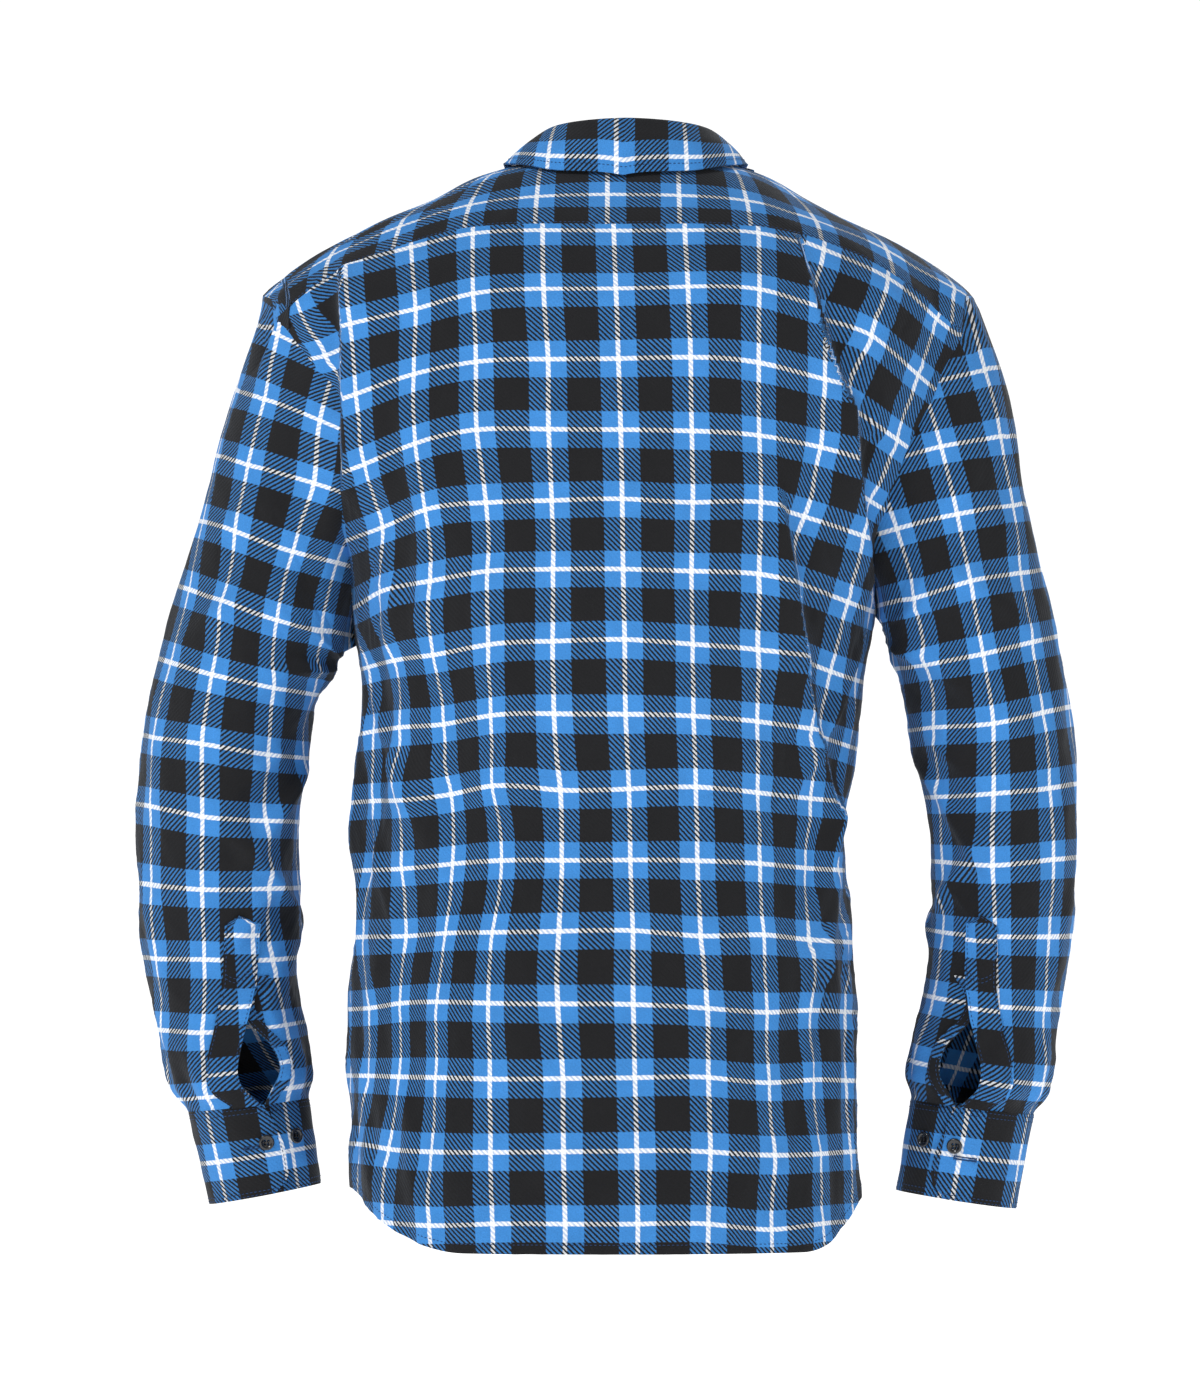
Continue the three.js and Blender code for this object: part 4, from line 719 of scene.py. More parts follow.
def cuff_ring(side, down):
    top, bottom = SLEEVE[side][-1], CUFF_BOTTOM[side]
    return [lerp(top[k], bottom[k], down) for k in range(6)]


def cuff_point(side, degrees, down, lift=0):
    sink = (CUFF_CLOTH + 0.6) * smooth(366, 408, degrees)
    return ring_point(cuff_ring(side, down), side, np.radians(degrees), lift - sink)


def cuff_points(side):
    down = np.linspace(0, 1, 25)[:, None]
    end = curve(CUFF_END_DOWN, CUFF_END_ANGLE, down)
    degrees = lerp(end, CUFF_UNDERLAP_ANGLE, np.linspace(0, 1, 181)[None, :])
    radius = 42
    x, y = radius * np.cos(np.radians(degrees)), radius * np.sin(np.radians(degrees))
    puff = 0.35 * ripples(x, y, 22, 70 + side, depth=down * 66)
    puff = puff + 0.5 * np.sin(np.pi * down) + 0.25 * np.cos(2 * np.pi * down)
    points = cuff_point(side, degrees, down, puff)
    across = -side * np.radians(degrees - 90) * radius + CUFF_WARP[side]
    cloth = (across, down * 66 * np.ones_like(degrees) + CUFF_WEFT[side])
    return points, cloth


# Collar


def share_along(points):
    lengths = np.concatenate([[0], np.cumsum(np.linalg.norm(np.diff(points, axis=0), axis=1))])
    return lengths / lengths[-1]


def collar_points(neck):
    tangent = np.gradient(neck, axis=0)
    outward = unit(np.stack([-tangent[:, 1], tangent[:, 0], np.zeros(len(neck))], -1))
    from_back = np.abs(2 * share_along(neck) - 1)
    beside = np.sin(math.pi * from_back) ** 2
    height = STAND_HEIGHT - 6 * from_back - 12.5 * beside
    lean = lerp(4, 24, beside)
    top = neck - outward * lean[:, None]
    top[:, 0] += FALL_SHIFT * beside
    top[:, 2] += height
    raised = neck + np.array([0, 0, LIFT])
    stand = np.array([lerp(raised, top, t) for t in np.linspace(0, 1, 13)])
    cut = slice(FINE, len(neck) - FINE)
    top, outward, neck = top[cut], outward[cut], neck[cut]
    from_back = np.abs(2 * share_along(neck) - 1)
    slope = unit(top - neck)
    off = unit(outward - slope * (outward * slope).sum(-1, keepdims=True))
    upper = []
    for out, up in FALL_PROFILE:
        narrowed = out * lerp(1, 0.6, np.sin(math.pi * from_back) ** 2)
        upper.append(top + off * narrowed[:, None] + slope * up)
    side = np.where(np.arange(len(top)) < len(top) / 2, RIGHT, LEFT)
    x = neck_middle(0) * (1 - from_back) + side * curve(FALL_EDGE_SHARE, FALL_EDGE_OUT, from_back)
    x = x + FALL_SHIFT * np.sin(math.pi * from_back) ** 2
    y = curve(FALL_EDGE_SHARE, FALL_EDGE_Y, from_back)
    z = height_over(x, y) + curve(FALL_EDGE_SHARE, FALL_EDGE_CLEAR, from_back)
    edge = np.stack([x, y, z], -1)
    for share in (1 / 3, 2 / 3, 1):
        bow = 2.5 * math.sin(math.pi * share)
        upper.append(lerp(upper[3], edge, share) + outward * bow + np.array([0, 0, bow]))
    upper = np.array(upper)
    steps = np.arange(len(upper))
    fine = np.linspace(0, len(upper) - 1, 6 * 8 + 1)
    fall = np.empty((len(fine),) + upper.shape[1:])
    for i in range(upper.shape[1]):
        for k in range(3):
            fall[:, i, k] = curve(steps, upper[:, i, k], fine)
    return stand, fall


# Meshes


def grid_normals(points):
    across = np.gradient(points, axis=1)
    along = np.gradient(points, axis=0)
    return unit(np.cross(across, along))


def new_object(name, vertices, faces, uv, material):
    mesh = bpy.data.meshes.new(name)
    mesh.from_pydata((np.asarray(vertices) * MM).tolist(), [], faces)
    mesh.polygons.foreach_set("use_smooth", np.ones(len(faces), bool))
    if uv is not None:
        layer = mesh.uv_layers.new(name="cloth")
        layer.data.foreach_set("uv", np.asarray(uv, np.float32).ravel() * MM)
    mesh.materials.append(material)
    mesh.set_sharp_from_angle(angle=math.radians(55))
    mesh.update()
    made = bpy.data.objects.new(name, mesh)
    bpy.context.scene.collection.objects.link(made)
    return made


def shell(name, points, normals, cloth, thickness, material, joined_rows=0, girth=None):
    """A panel with an outer side, an inner side and edges. The first joined_rows rows close
    into a tube, on which the cloth coordinate starts again after each girth."""
    rows, columns = points.shape[:2]
    vertices = np.concatenate([points.reshape(-1, 3), (points - normals * thickness).reshape(-1, 3)])
    ids = np.arange(rows * columns).reshape(rows, columns)
    used = ids.copy()
    used[:joined_rows, -1] = used[:joined_rows, 0]
    under = rows * columns
    corner = [(0, 0), (0, 1), (1, 1), (1, 0)]
    quads = [used[dj: rows - 1 + dj, di: columns - 1 + di].ravel() for dj, di in corner]
    own = [ids[dj: rows - 1 + dj, di: columns - 1 + di].ravel() for dj, di in corner]
    outside, own = np.stack(quads, -1), np.stack(own, -1)
    faces = np.concatenate([outside, outside[:, ::-1] + under])
    corners = np.concatenate([own, own[:, ::-1]])
    flat = np.stack([c.reshape(-1) for c in cloth], -1)
    uv = flat[corners]
    if girth is not None:
        around = girth.ravel()[corners].mean(1, keepdims=True)
        uv[..., 0] -= around * np.round((uv[..., 0] - uv[:, :1, 0]) / around)
    rim = [(ids[-1, i + 1], ids[-1, i]) for i in range(columns - 1)]
    first = [(ids[0, i], ids[0, i + 1]) for i in range(columns - 1)]
    ends = [(ids[j, 0], ids[j + 1, 0]) for j in range(joined_rows, rows - 1)]
    others = [(ids[j + 1, -1], ids[j, -1]) for j in range(joined_rows, rows - 1)]
    turn = {int(ids[j, -1]): int(ids[j, 0]) for j in range(joined_rows)}
    edge_faces, edge_uv = [], []
    for a, b in rim + first + ends[::-1] + others:
        edge_uv.append([flat[a], flat[a], flat[b], flat[b]])
        a, b = turn.get(int(a), int(a)), turn.get(int(b), int(b))
        edge_faces.append([a, a + under, b + under, b])
    all_faces = faces.tolist() + edge_faces
    all_uv = np.concatenate([uv.reshape(-1, 2), np.array(edge_uv).reshape(-1, 2)])
    return new_object(name, vertices, all_faces, all_uv, material)


def edge_line(points, normals, inset):
    """The line at a given distance from a grid's first row, and its outward directions."""
    depth = np.cumsum(np.linalg.norm(np.diff(points, axis=0), axis=-1), axis=0)
    depth = np.concatenate([np.zeros((1, points.shape[1])), depth])
    row = np.clip((depth < inset).sum(0), 1, len(points) - 1)
    column = np.arange(points.shape[1])
    low, high = depth[row - 1, column], depth[row, column]
    t = np.clip((inset - low) / np.maximum(high - low, 1e-6), 0, 1)[:, None]
    line = lerp(points[row - 1, column], points[row, column], t)
    outward = unit(lerp(normals[row - 1, column], normals[row, column], t))
    return line, outward


STITCH_LENGTH, STITCH_GAP, STITCH_RADIUS = 2.3, 0.9, 0.3


def stitch_mesh(lines):
    """Vertices and faces of rows of stitches along lines of points with outward directions."""
    vertices, faces = [], []
    for line, outward, length, gap, radius in lines:
        lengths = np.concatenate([[0], np.cumsum(np.linalg.norm(np.diff(line, axis=0), axis=1))])
        starts = np.arange(gap, lengths[-1] - length, length + gap)
        for start in starts:
            at = start + length * np.array([0, 0.3, 0.7, 1])
            place = np.stack([np.interp(at, lengths, line[:, k]) for k in range(3)], -1)
            up = unit(np.stack([np.interp(at, lengths, outward[:, k]) for k in range(3)], -1))
            way = unit(place[-1] - place[0])
            aside = np.cross(way, up)
            place = place + up * (radius * np.array([-0.9, 0.35, 0.35, -0.9]))[:, None]
            base = len(vertices)
            for k in range(4):
                size = radius * (0.55 if k in (0, 3) else 1)
                for turn in range(4):
                    c, s = math.cos(turn * math.pi / 2), math.sin(turn * math.pi / 2)
                    vertices.append(place[k] + size * (aside[k] * c + up[k] * s))
            for k in range(3):
                for turn in range(4):
                    a, b = base + 4 * k + turn, base + 4 * k + (turn + 1) % 4
                    faces.append([a, b, b + 4, a + 4])
            faces.append([base + 3, base + 2, base + 1, base])
            faces.append([base + 12, base + 13, base + 14, base + 15])
    return vertices, faces


def seam(line, outward):
    return line, outward, STITCH_LENGTH, STITCH_GAP, STITCH_RADIUS


# Materials


def node_tools(material):
    material.use_nodes = True
    tree = material.node_tree
    tree.nodes.clear()

    def add(kind, **inputs):
        node = tree.nodes.new(kind)
        for key, value in inputs.items():
            if key.startswith("_"):
                setattr(node, key[1:], value)
                continue
            socket = node.inputs[int(key[1:])] if key[1:].isdigit() else node.inputs[key]
            if isinstance(value, bpy.types.NodeSocket):
                tree.links.new(value, socket)
            else:
                socket.default_value = value
        return node

    def calc(operation, a, b=0.0, c=0.0):
        return add("ShaderNodeMath", _operation=operation, i0=a, i1=b, i2=c).outputs[0]

    def mix(share, a, b):
        node = add("ShaderNodeMix", _data_type="RGBA")
        for socket, value in zip((node.inputs[0], node.inputs[6], node.inputs[7]), (share, a, b)):
            if isinstance(value, bpy.types.NodeSocket):
                tree.links.new(value, socket)
            else:
                socket.default_value = value
        return node.outputs[2]

    return tree, add, calc, mix


BLUE = (0.042, 0.218, 0.560, 1)
BLACK = (0.0075, 0.0074, 0.0084, 1)
WHITE = (0.84, 0.86, 0.88, 1)
BLUE_HALF = 0.26  # half the width of the blue band, as a share of the repeat
WHITE_HALF = 0.031
TWILL_PITCH = 3.8


def flannel(name, lean):
    """Check flannel. lean is 1 where the twill lines run down away from the wearer's left."""
    material = bpy.data.materials.new(name)
    tree, add, calc, mix = node_tools(material)
    uv = add("ShaderNodeUVMap", _uv_map="cloth").outputs[0]
    wobble = add("ShaderNodeTexNoise", Vector=uv, Scale=900.0, Detail=2.0, Roughness=0.6)
    wide = add("ShaderNodeTexNoise", Vector=uv, Scale=45.0, Detail=3.0, Roughness=0.6)
    axes = add("ShaderNodeSeparateXYZ", i0=uv)
    noise_axes = add("ShaderNodeSeparateXYZ", i0=wobble.outputs["Color"])

    def place(axis):
        shaken = calc("MULTIPLY_ADD", noise_axes.outputs[axis], 0.0009, -0.00045)
        return calc("ADD", axes.outputs[axis], shaken)

    def bands(coordinate):
        turn = calc("FRACT", calc("MULTIPLY_ADD", coordinate, 1 / (REPEAT * MM), 0.5))
        away = calc("ABSOLUTE", calc("SUBTRACT", turn, 0.5))

        def inside(half, edge):
            return add(
                "ShaderNodeMapRange", _interpolation_type="SMOOTHSTEP", i0=away,
                i1=half + edge, i2=half - edge, i3=0.0, i4=1.0,
            ).outputs[0]

        blue, white = inside(BLUE_HALF, 0.006), inside(WHITE_HALF, 0.006)
        return blue, white, mix(white, mix(blue, BLACK, BLUE), WHITE)

    across, down = place(0), place(1)
    blue_warp, white_warp, warp = bands(across)
    blue_weft, white_weft, weft = bands(down)
    diagonal = calc("MULTIPLY_ADD", down, lean, across)
    phase = calc("FRACT", calc("MULTIPLY", diagonal, 1 / (TWILL_PITCH * MM)))
    swing = calc("ABSOLUTE", calc("SUBTRACT", phase, 0.5))
    face = add(
        "ShaderNodeMapRange", _interpolation_type="SMOOTHSTEP", i0=swing,
        i1=0.17, i2=0.33, i3=0.0, i4=1.0,
    ).outputs[0]
    colour = mix(face, weft, warp)
    over_blue = calc(
        "ADD", calc("MULTIPLY", white_warp, blue_weft), calc("MULTIPLY", white_weft, blue_warp),
    )
    colour = mix(calc("MULTIPLY", over_blue, 0.55), colour, WHITE)
    shade = calc("MULTIPLY_ADD", wide.outputs[0], 0.34, 0.83)
    fuzz = calc("MULTIPLY_ADD", wobble.outputs[0], 0.5, 0.75)
    tone = calc("MULTIPLY", shade, fuzz)
    # Painted shade: where blue and black threads cross, the colour is darkened to stand for the shade
    # in the valleys between the threads
    mixed = calc("ABSOLUTE", calc("SUBTRACT", blue_warp, blue_weft))
    tone = calc("MULTIPLY", tone, calc("MULTIPLY_ADD", mixed, -0.3, 1.0))
    toned = add("ShaderNodeVectorMath", _operation="SCALE", i0=colour, Scale=tone).outputs[0]
    height = calc("ADD", calc("MULTIPLY", face, 0.35), calc("MULTIPLY", wobble.outputs[0], 1.1))
    bump = add("ShaderNodeBump", Strength=0.55, Distance=0.0005, Height=height)
    shader = add("ShaderNodeBsdfPrincipled", Normal=bump.outputs[0])
    tree.links.new(toned, shader.inputs["Base Color"])
    shader.inputs["Roughness"].default_value = 0.93
    shader.inputs["Specular IOR Level"].default_value = 0.25
    shader.inputs["Sheen Weight"].default_value = 0.07
    shader.inputs["Sheen Roughness"].default_value = 0.55
    shader.inputs["Sheen Tint"].default_value = (0.75, 0.85, 1.0, 1)
    out = add("ShaderNodeOutputMaterial")
    tree.links.new(shader.outputs[0], out.inputs[0])
    return material


def plain(name, colour, roughness, specular=0.5):
    material = bpy.data.materials.new(name)
    tree, add, calc, _ = node_tools(material)
    noise = add("ShaderNodeTexNoise", Scale=600.0, Detail=2.0)
    scale = calc("MULTIPLY_ADD", noise.outputs[0], 0.3, 0.85)
    toned = add("ShaderNodeVectorMath", _operation="SCALE", i0=colour[:3], Scale=scale).outputs[0]
    shader = add("ShaderNodeBsdfPrincipled")
    tree.links.new(toned, shader.inputs["Base Color"])
    shader.inputs["Roughness"].default_value = roughness
    shader.inputs["Specular IOR Level"].default_value = specular
    out = add("ShaderNodeOutputMaterial")
    tree.links.new(shader.outputs[0], out.inputs[0])
    return material


cloth_material = flannel("flannel", 1.0)
trim_material = flannel("flannel trim", -1.0)
thread_material = plain("thread", (0.012, 0.045, 0.13), 0.7, 0.3)
hole_material = plain("buttonhole thread", (0.012, 0.012, 0.014), 0.8, 0.2)
button_material = plain("button", (0.011, 0.011, 0.012), 0.22, 0.6)


# Cloth coordinates


def row_lengths(points, middle_column):
    """Level distance along each row from its middle, positive towards the later columns."""
    steps = np.linalg.norm(np.diff(points[..., :2], axis=1), axis=-1)
    total = np.concatenate([np.zeros((len(points), 1)), np.cumsum(steps, axis=1)], axis=1)
    number = np.arange(total.shape[1])
    here = np.array([np.interp(middle_column[j], number, total[j]) for j in range(len(total))])
    return total - here[:, None]


def column_of_x(points, x):
    """The column, with its fraction, at which each row passes a given x."""
    number = np.arange(points.shape[1])
    return np.array([np.interp(x[j], points[j, :, 0], number) for j in range(len(points))])


def seen(points):
    """Where points lie as seen from behind, on the level of the garment's middle."""
    scale = CAMERA_DISTANCE / (CAMERA_DISTANCE - points[..., 1])
    x = CAMERA_X + (points[..., 0] - CAMERA_X) * scale
    z = CAMERA_Z + (points[..., 2] - CAMERA_Z) * scale
    return np.stack([x, z], -1)


def bent_sheet(places, values, at, softness=0.02):
    """A smooth surface through the values given at some places, as a bent thin plate takes."""
    places, at = places / 100, at / 100

    def pull(a, b):
        squared = ((a[:, None] - b[None]) ** 2).sum(-1)
        return squared * np.log(squared + 1e-12) / 2

    count = len(places)
    flat = np.concatenate([np.ones((count, 1)), places], 1)
    system = np.zeros((count + 3, count + 3))
    system[:count, :count] = pull(places, places) + softness * np.eye(count)
    system[:count, count:], system[count:, :count] = flat, flat.T
    weights = np.linalg.solve(system, np.concatenate([values, np.zeros((3, values.shape[1]))]))
    reach = np.concatenate([np.ones((len(at), 1)), at], 1)
    return pull(at, places) @ weights[:count] + reach @ weights[count:]


def follow_chart(cloth, points, facing, chart):
    """Shifts cloth coordinates so that white lines cross where the chart says."""
    rows = [(warp, weft, x, z) for warp, line in chart.items() for weft, x, z in line]
    rows = np.array(rows, float)
    places = seen(points)
    candidates = np.where(facing[..., None], places, 1e6).reshape(-1, 2)
    nearest = [((candidates - row[2:]) ** 2).sum(-1).argmin() for row in rows]
    own = np.stack([c.ravel()[nearest] for c in cloth], -1)
    wanted = rows[:, :2] * REPEAT - own
    whole = REPEAT * np.round(wanted.mean(0) / REPEAT)
    low, high = rows[:, 2:].min(0) - 15, rows[:, 2:].max(0) + 15
    at = np.clip(places.reshape(-1, 2), low, high)
    shift = bent_sheet(rows[:, 2:], wanted - whole, at).reshape(points.shape[:-1] + (2,))
    return tuple(c + shift[..., k] for k, c in enumerate(cloth))


BACK_WEFT_Z = [-820, -744, -229, -129, -80, -38, 10]
BACK_WEFT_LENGTH = [787, 711.2, 203.2, 101.6, 50.8, 0, -61]


def back_cloth(points, angle, z):
    middle_x = 1.4 - 13.5 * (-86.7 - z[:, z.shape[1] // 2]) / 640
    across = row_lengths(points, column_of_x(points, middle_x))
    armpit = SIDE_ROWS * FINE
    for end in (0, -1):
        missing = np.abs(across[armpit, end]) - np.abs(across[:armpit, end])
        own = across[:armpit] * (1 if end == -1 else -1) > 0
        pull = smooth(60, 190, np.abs(across[:armpit])) * missing[:, None]
        across[:armpit] += np.where(own, pull * np.sign(across[:armpit]), 0)
    seen_z = seen(points)[..., 1]
    down = np.interp(-seen_z, [-v for v in BACK_WEFT_Z[::-1]], BACK_WEFT_LENGTH[::-1])
    facing = np.abs(np.degrees(angle)) < 85
    plain = (across, down)
    cloth = follow_chart(plain, points, facing, BACK_CHART)
    x = plain_body(angle, z)[..., 0]
    for name, chart in LAP_CHARTS.items():
        outside = smooth(0.5, 3, lap_distance(x, z, BACK_LAPS[name][3])[0])
        ends = LAP_ENDS[name]
        outside = outside * smooth(ends[0], ends[1], z) * (1 - smooth(ends[2], ends[3], z))
        other = follow_chart(plain, points, facing, chart)
        cloth = tuple(lerp(cloth[k], other[k], outside) for k in (0, 1))
    return cloth


def column_lengths(points):
    steps = np.linalg.norm(np.diff(points, axis=0), axis=-1)
    return np.concatenate([np.zeros((1, points.shape[1])), np.cumsum(steps, axis=0)])


def yoke_cloth(points):
    middle_x = np.full(len(points), 7.6)
    across = row_lengths(points, column_of_x(points, middle_x))
    up = column_lengths(points)
    return across, 29.5 - up


# Panels

sheets = {}
stitch_lines = {}


def add_sheet(name, points, cloth, thickness, material, slot_name, turned=False, **options):
    """Makes one cloth piece from a grid, hides the part it replaces, and keeps the piece with its flat
    size and area.
    """
    normals = grid_normals(points)
    if turned:
        points, normals = points[:, ::-1], -normals[:, ::-1]
        cloth = tuple(c[:, ::-1] for c in cloth)
        if options.get("girth") is not None:
            options["girth"] = options["girth"][:, ::-1]
    made = shell(name + "_cloth", points, normals, cloth, thickness, material, **options)
    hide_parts(name)
    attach(made, "root")
    along, across = points[1:, :-1] - points[:-1, :-1], points[:-1, 1:] - points[:-1, :-1]
    area = np.linalg.norm(np.cross(along, across), axis=-1).sum() * MM**2
    flat = [float(np.ptp(c)) * MM for c in cloth]
    sheets[name] = {"object": made, "flat": flat, "area": area, "pieces": []}
    stitch_lines[name] = []
    return points, normals


angle, z = back_places()
back = body_point(angle, z)
back_grid = add_sheet(
    "back", back, back_cloth(back, angle, z), CLOTH, cloth_material, "flannel", turned=True,
)
yoke = yoke_points(back[-1])
yoke_grid = add_sheet("yoke", yoke, yoke_cloth(yoke), CLOTH, cloth_material, "flannel", turned=True)

fronts, front_grids, cuff_grids, tower_grids, binding_grids = {}, {}, {}, {}, {}
for side in (LEFT, RIGHT):
    angle, z, points = front_points(side)
    fronts[side] = points
    centre = np.full(len(points), 2.0 * FINE)
    cloth = (side * row_lengths(points, centre), np.interp(-z, [0, 900], [14, 914]))
    name = "front_" + SIDE_NAMES[side]
    front_grids[side] = add_sheet(
        name, points, cloth, CLOTH, cloth_material, "flannel", turned=side == RIGHT,
    )

sleeves = {}
for side in (LEFT, RIGHT):
    name = SIDE_NAMES[side]
    loop = armhole_loop(side, back, yoke, fronts[side])
    angle, points, plain_points = sleeve_points(side, loop)
    row = np.linspace(0, SLEEVE_LAST_ROW, len(points))[:, None]
    cloth, girth = sleeve_cloth(side, angle, plain_points, np.maximum(0, (row - 1) * 0.5))
    normals = grid_normals(points) * side
    joined = SLIT_TOP_ROW * FINE + 1
    sleeves[side] = add_sheet(
        "sleeve_" + name, points, cloth, CLOTH, cloth_material, "flannel",
        turned=side == RIGHT, joined_rows=joined, girth=girth,
    )
    tower_rows = slice(TOWER_TOP_ROW * FINE, None)
    tower = (points + normals * (LIFT + CLOTH))[tower_rows, : 2 * FINE + 1]
    tower_cloth = (
        cloth[0][tower_rows, : 2 * FINE + 1] + TOWER_WARP[side],
        cloth[1][tower_rows, : 2 * FINE + 1] + TOWER_WEFT[side],
    )
    above, middle_column = (TOWER_TOP_ROW - 1) * FINE, FINE + TOWER_TIP[side]
    tip = points[above, middle_column] + normals[above, middle_column] * (LIFT + CLOTH)
    tip = lerp(tip, tower[0, middle_column], 0.6)
    widths = 1 - np.linspace(1, 0, 6)[:-1]
    peak = np.array([lerp(tip[None], tower[0], width) for width in widths])
    peak_down = np.linspace(-9, 0, 6)[:-1, None] + tower_cloth[1][0][None]
    tower = np.concatenate([peak, tower])
    tower_cloth = (
        np.concatenate([np.repeat(tower_cloth[0][:1], 5, 0), tower_cloth[0]]),
        np.concatenate([peak_down, tower_cloth[1]]),
    )
    tower[0] = lerp(tower[0], tower[1], 0.02)
    tower_grids[side] = add_sheet(
        "sleeve_placket_" + name, tower, tower_cloth, CLOTH, cloth_material, "trim",
        turned=side == RIGHT,
    )
    bind_rows = slice(SLIT_TOP_ROW * FINE, None)
    binding = (points + normals * (LIFT + CLOTH))[bind_rows, -FINE - 1:]
    binding_cloth = (cloth[0][bind_rows, -FINE - 1:], cloth[1][bind_rows, -FINE - 1:] + 20)
    binding_grids[side] = add_sheet(
        "slit_binding_" + name, binding, binding_cloth, CLOTH, cloth_material, "trim",
        turned=side == RIGHT,
    )
    points, cloth = cuff_points(side)
    cuff_grids[side] = add_sheet(
        "cuff_" + name, points, cloth, CUFF_CLOTH, trim_material, "trim", turned=side == RIGHT,
    )

neck = np.concatenate([
    fronts[RIGHT][-1, : (FRONT_NECK_COLUMNS + 2) * FINE],
    yoke[-1, YOKE_END_COLUMNS * FINE: (BACK_COLUMNS - YOKE_END_COLUMNS) * FINE + 1],
    fronts[LEFT][-1, : (FRONT_NECK_COLUMNS + 2) * FINE][::-1],
])
stand, fall = collar_points(neck)
stand_along = row_lengths(stand, np.full(len(stand), (stand.shape[1] - 1) / 2))
stand_grid = add_sheet(
    "collar_stand", stand, (stand_along, -column_lengths(stand)), STAND_CLOTH, trim_material, "trim",
    turned=True,
)
middle = (fall.shape[1] - 1) // 2
fall_along = row_lengths(fall, np.full(len(fall), float(middle))) + fall[:, middle, :1] - 1.4
fall_down = column_lengths(fall)
fall_down = fall_down - fall_down[-1:] + 10.4
fall_grid = add_sheet("collar_fall", fall, (fall_along, fall_down), FALL_CLOTH, trim_material, "trim")


# Stitching


def border(grid, edge):
    """The same grid with another border as its first row."""
    points, normals = grid
    if edge == "last_row":
        return points[::-1], normals[::-1]
    if edge == "first_column":
        return points.transpose(1, 0, 2), normals.transpose(1, 0, 2)
    if edge == "last_column":
        return points.transpose(1, 0, 2)[::-1], normals.transpose(1, 0, 2)[::-1]
    return points, normals


def sew(name, grid, edge, inset, first=0, last=None):
    """A row of stitches at a distance from one border of a piece."""
    points, normals = border(grid, edge)
    line, outward = edge_line(points, normals, inset)
    stitch_lines[name].append(seam(line[first:last], outward[first:last]))


BAR_PITCH = 0.62  # between the close stitches of a buttonhole
BUTTONHOLE_LENGTH = 15


def buttonhole(name, centre, along, outward, length=BUTTONHOLE_LENGTH):
    """Close stitches across a slit, both sides of it, and a bar at each end."""
    along, outward = unit(np.asarray(along, float)), unit(np.asarray(outward, float))
    aside = np.cross(along, outward)
    centre = np.asarray(centre, float)
    for k in range(int(length / BAR_PITCH) + 1):
        at = centre + along * (BAR_PITCH * k - length / 2)
        for way in (-1, 1):
            ends = np.array([at + aside * way * 0.25, at + aside * way * 1.6])
            stitch_lines[name].append((ends, np.array([outward, outward]), 1.3, 0.01, 0.3))
    for way in (-1, 1):
        at = centre + along * way * (length / 2 + 0.5)
        ends = np.array([at - aside * 1.9, at + aside * 1.9])
        stitch_lines[name].append((ends, np.array([outward, outward]), 3.6, 0.05, 0.4))


sew("back", back_grid, "first_row", 6.6, 3, -3)
sew("yoke", yoke_grid, "first_row", 1.6)
for side in (LEFT, RIGHT):
    name = SIDE_NAMES[side]
    grid = front_grids[side]
    seam_columns = FRONT_YOKE_COLUMNS * FINE
    own_end = "first_column" if side == LEFT else "last_column"
    sew("front_" + name, grid, "first_row", 6.6, 3, -3)
    sew("front_" + name, grid, own_end, 4)
    sew("front_" + name, grid, own_end, 29)
    line, outward = edge_line(*border(yoke_grid, "last_row"), 1.6)
    chosen = slice(0, seam_columns + 1) if side == LEFT else slice(-seam_columns - 1, None)
    stitch_lines["yoke"].append(seam(line[chosen], outward[chosen]))
    for inset in (2, 5.5):
        sew("cuff_" + name, cuff_grids[side], "first_row", inset)
        sew("cuff_" + name, cuff_grids[side], "last_row", inset)
    sew("cuff_" + name, cuff_grids[side], own_end, 3)
    for edge in ("first_column", "last_column"):
        sew("sleeve_placket_" + name, tower_grids[side], edge, 1.8)
        sew("slit_binding_" + name, binding_grids[side], edge, 1.6)
    for inset in (CROSSBAR, CROSSBAR + CROSSBAR_WIDTH):
        sew("sleeve_placket_" + name, tower_grids[side], "first_row", inset)
sew("collar_fall", fall_grid, "last_row", 5.5, 6, -6)
sew("collar_fall", fall_grid, "first_column", 5.5)
sew("collar_fall", fall_grid, "last_column", 5.5)
sew("collar_stand", stand_grid, "first_row", 2)
for z in FRONT_BUTTON_Z:
    angle = front_edge_angle(LEFT, np.array([float(z)]), 0.0)
    place = body_point(angle, np.array([float(z)]))[0]
    buttonhole("front_left", place, (0, 0, 1), (0, -1, 0))
for side in (LEFT, RIGHT):
    name, (x, height) = "cuff_" + SIDE_NAMES[side], CUFF_HOLE[side]
    points, normals = cuff_grids[side]
    overlap = slice(4, 100) if side == LEFT else slice(-100, -4)
    points, normals = points[:, overlap], normals[:, overlap]
    off = (points[..., 0] - x) ** 2 + (points[..., 2] - height) ** 2 + 1e6 * (points[..., 1] < -20)
    off[:, [0, 1, 2, -3, -2, -1]] = 1e9
    at = np.unravel_index(off.argmin(), off.shape)
    along = points[at[0], at[1] + 3] - points[at[0], at[1] - 3]
    buttonhole(name, points[at], along, normals[at])
for name, lines in stitch_lines.items():
    if not lines:
        continue
    vertices, faces = stitch_mesh(lines)
    made = new_object(name + "_stitches", vertices, faces, None, thread_material)
    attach(made, "root")
    sheets[name]["pieces"] = [made]


# Buttons

BUTTON_PROFILE = [  # radius and height, from the middle of the face over the rim to the back
    (0, 1.35), (2.9, 1.4), (3.4, 1.7), (3.8, 2.2), (4.5, 2.35), (5.2, 2.15), (5.6, 1.5),
    (5.5, 0.7), (4.6, 0.05), (0, 0),
]
HOLE_OFFSET, HOLE_RADIUS = 1.25, 0.75


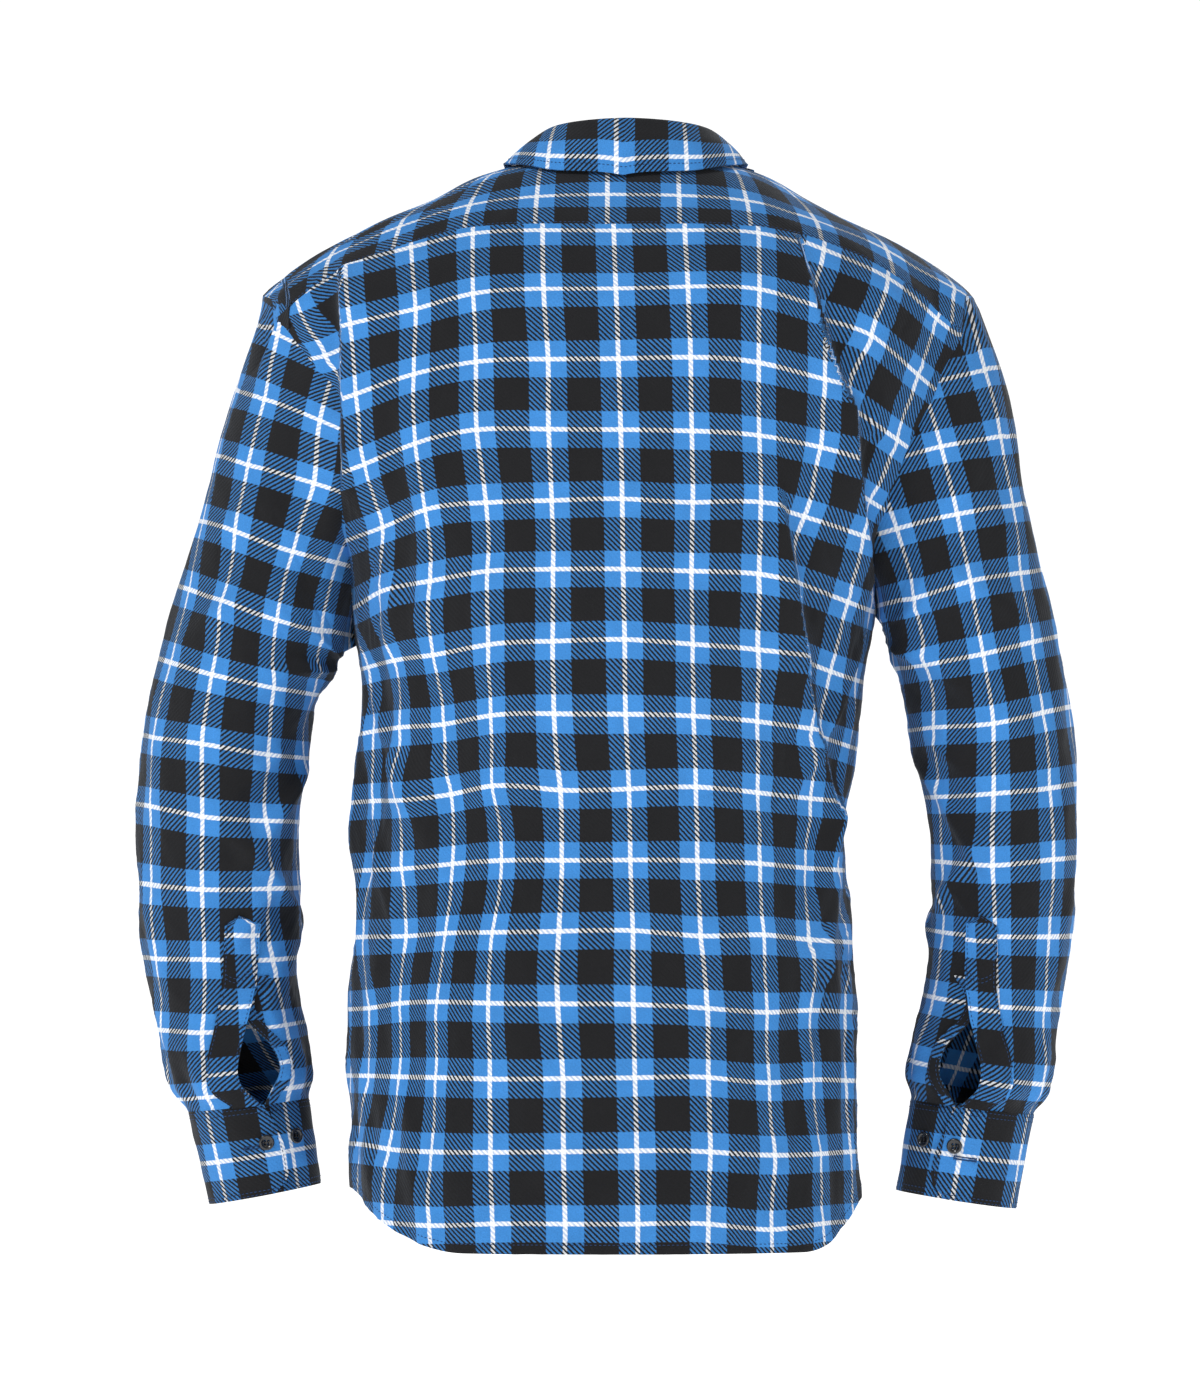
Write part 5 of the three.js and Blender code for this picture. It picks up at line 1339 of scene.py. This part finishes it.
def button_mesh():
    around = 48
    vertices, faces = [], []
    for radius, height in BUTTON_PROFILE:
        for k in range(around):
            turn = 2 * math.pi * k / around
            vertices.append((radius * math.cos(turn), radius * math.sin(turn), height))
    for j in range(len(BUTTON_PROFILE) - 1):
        for k in range(around):
            a, b = j * around + k, j * around + (k + 1) % around
            faces.append([a, a + around, b + around, b])
    return vertices, faces


def button_object(name):
    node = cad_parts[name]
    place = np.array([v.co for v in node.data.vertices])
    centre = place.mean(0)
    _, _, axes = np.linalg.svd(place - centre, full_matrices=False)
    outward = Vector(axes[2])
    if (outward.y > 0) == name.startswith(("front", "collar")):
        outward.negate()
    reach = (place - centre) @ np.array(outward)
    base = Vector(centre) + outward * float(reach.min())
    vertices, faces = button_mesh()
    made = new_object(name + "_look", vertices, faces, None, button_material)
    bpy.ops.object.select_all(action="DESELECT")
    bpy.context.view_layer.objects.active = made
    made.select_set(True)
    cutters = []
    for dx, dy in ((1, 1), (1, -1), (-1, 1), (-1, -1)):
        x, y = dx * HOLE_OFFSET * MM, dy * HOLE_OFFSET * MM
        bpy.ops.mesh.primitive_cylinder_add(
            vertices=16, radius=HOLE_RADIUS * MM, depth=6 * MM, location=(x, y, 1 * MM),
        )
        cutters.append(bpy.context.object)
    for cutter in cutters:
        cut = made.modifiers.new("hole", "BOOLEAN")
        cut.operation, cut.solver, cut.object = "DIFFERENCE", "EXACT", cutter
    bpy.context.view_layer.update()
    graph = bpy.context.evaluated_depsgraph_get()
    solid = bpy.data.meshes.new_from_object(made.evaluated_get(graph))
    made.modifiers.clear()
    made.data = solid
    for cutter in cutters:
        bpy.data.objects.remove(cutter)
    upright = Vector((0, 0, 1))
    aside = upright.cross(outward).normalized()
    turn = Matrix((aside, outward.cross(aside), outward)).transposed()
    made.data.transform(Matrix.Translation(base) @ turn.to_4x4())
    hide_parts(name)
    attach(made, "root")
    return base, turn


def button_thread(name, base, turn):
    lines = []
    for x in (-HOLE_OFFSET, HOLE_OFFSET):
        ends = [base / MM + turn @ Vector((x, y, 1.5)) for y in (-1.5, 1.5)]
        line = np.array([list(end) for end in ends])
        outward = np.array([list(turn @ Vector((0, 0, 1)))] * 2)
        lines += [(line + outward * rise, outward, 2.9, 0.05, 0.32) for rise in (0, 0.35)]
    vertices, faces = stitch_mesh(lines)
    made = new_object(name + "_thread", vertices, faces, None, hole_material)
    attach(made, "root")


for name in sorted(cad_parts):
    if "button" in name:
        button_thread(name, *button_object(name))


# Floor, light and camera


def add_floor():
    bpy.ops.mesh.primitive_plane_add(size=120, location=(0, 0, -0.95))
    floor = bpy.context.object
    floor.name = "floor"
    material = bpy.data.materials.new("floor")
    _, add, _, _ = node_tools(material)
    shader = add("ShaderNodeBsdfPrincipled")
    shader.inputs["Base Color"].default_value = (0.9, 0.9, 0.9, 1)
    shader.inputs["Roughness"].default_value = 0.95
    shader.inputs["Emission Color"].default_value = (1, 1, 1, 1)
    shader.inputs["Emission Strength"].default_value = 0.85
    out = add("ShaderNodeOutputMaterial")
    material.node_tree.links.new(shader.outputs[0], out.inputs[0])
    floor.data.materials.append(material)


def add_area(name, place, size, power, target=(0, 0, -0.38)):
    data = bpy.data.lights.new(name, "AREA")
    data.shape, data.size, data.energy = "SQUARE", size, power
    light = bpy.data.objects.new(name, data)
    light.location = place
    way = Vector(target) - Vector(place)
    light.rotation_euler = way.to_track_quat("-Z", "Y").to_euler()
    bpy.context.scene.collection.objects.link(light)


add_floor()
world = bpy.data.worlds.new("studio")
world.use_nodes = True
world_nodes, world_links = world.node_tree.nodes, world.node_tree.links
backdrop = world_nodes["Background"]
backdrop.inputs["Color"].default_value = (1, 1, 1, 1)
ray = world_nodes.new("ShaderNodeLightPath")
strength = world_nodes.new("ShaderNodeMapRange")
strength.inputs["To Min"].default_value = 0.36
strength.inputs["To Max"].default_value = 1.1
world_links.new(ray.outputs["Is Camera Ray"], strength.inputs["Value"])
world_links.new(strength.outputs[0], backdrop.inputs["Strength"])
bpy.context.scene.world = world
add_area("key", (1.7, 2.4, 2.6), 0.9, 90, (0, 0, -0.2))
add_area("fill", (-2.6, 2.8, 0.4), 2.4, 14)
add_area("front", (-1.2, -2.8, 1.2), 1.8, 44)

SENSOR, VIEW_HEIGHT = 36, 986.9
camera_data = bpy.data.cameras.new("camera")
camera_data.sensor_width = SENSOR
camera_data.lens = SENSOR * CAMERA_DISTANCE / VIEW_HEIGHT
camera = bpy.data.objects.new("camera", camera_data)
camera.location = (CAMERA_X * MM, CAMERA_DISTANCE * MM, CAMERA_Z * MM)
camera.rotation_euler = (math.pi / 2, 0, math.pi)
camera_data.clip_end = 200
bpy.context.scene.collection.objects.link(camera)
bpy.context.scene.camera = camera
bpy.context.scene.view_settings.view_transform = "Standard"
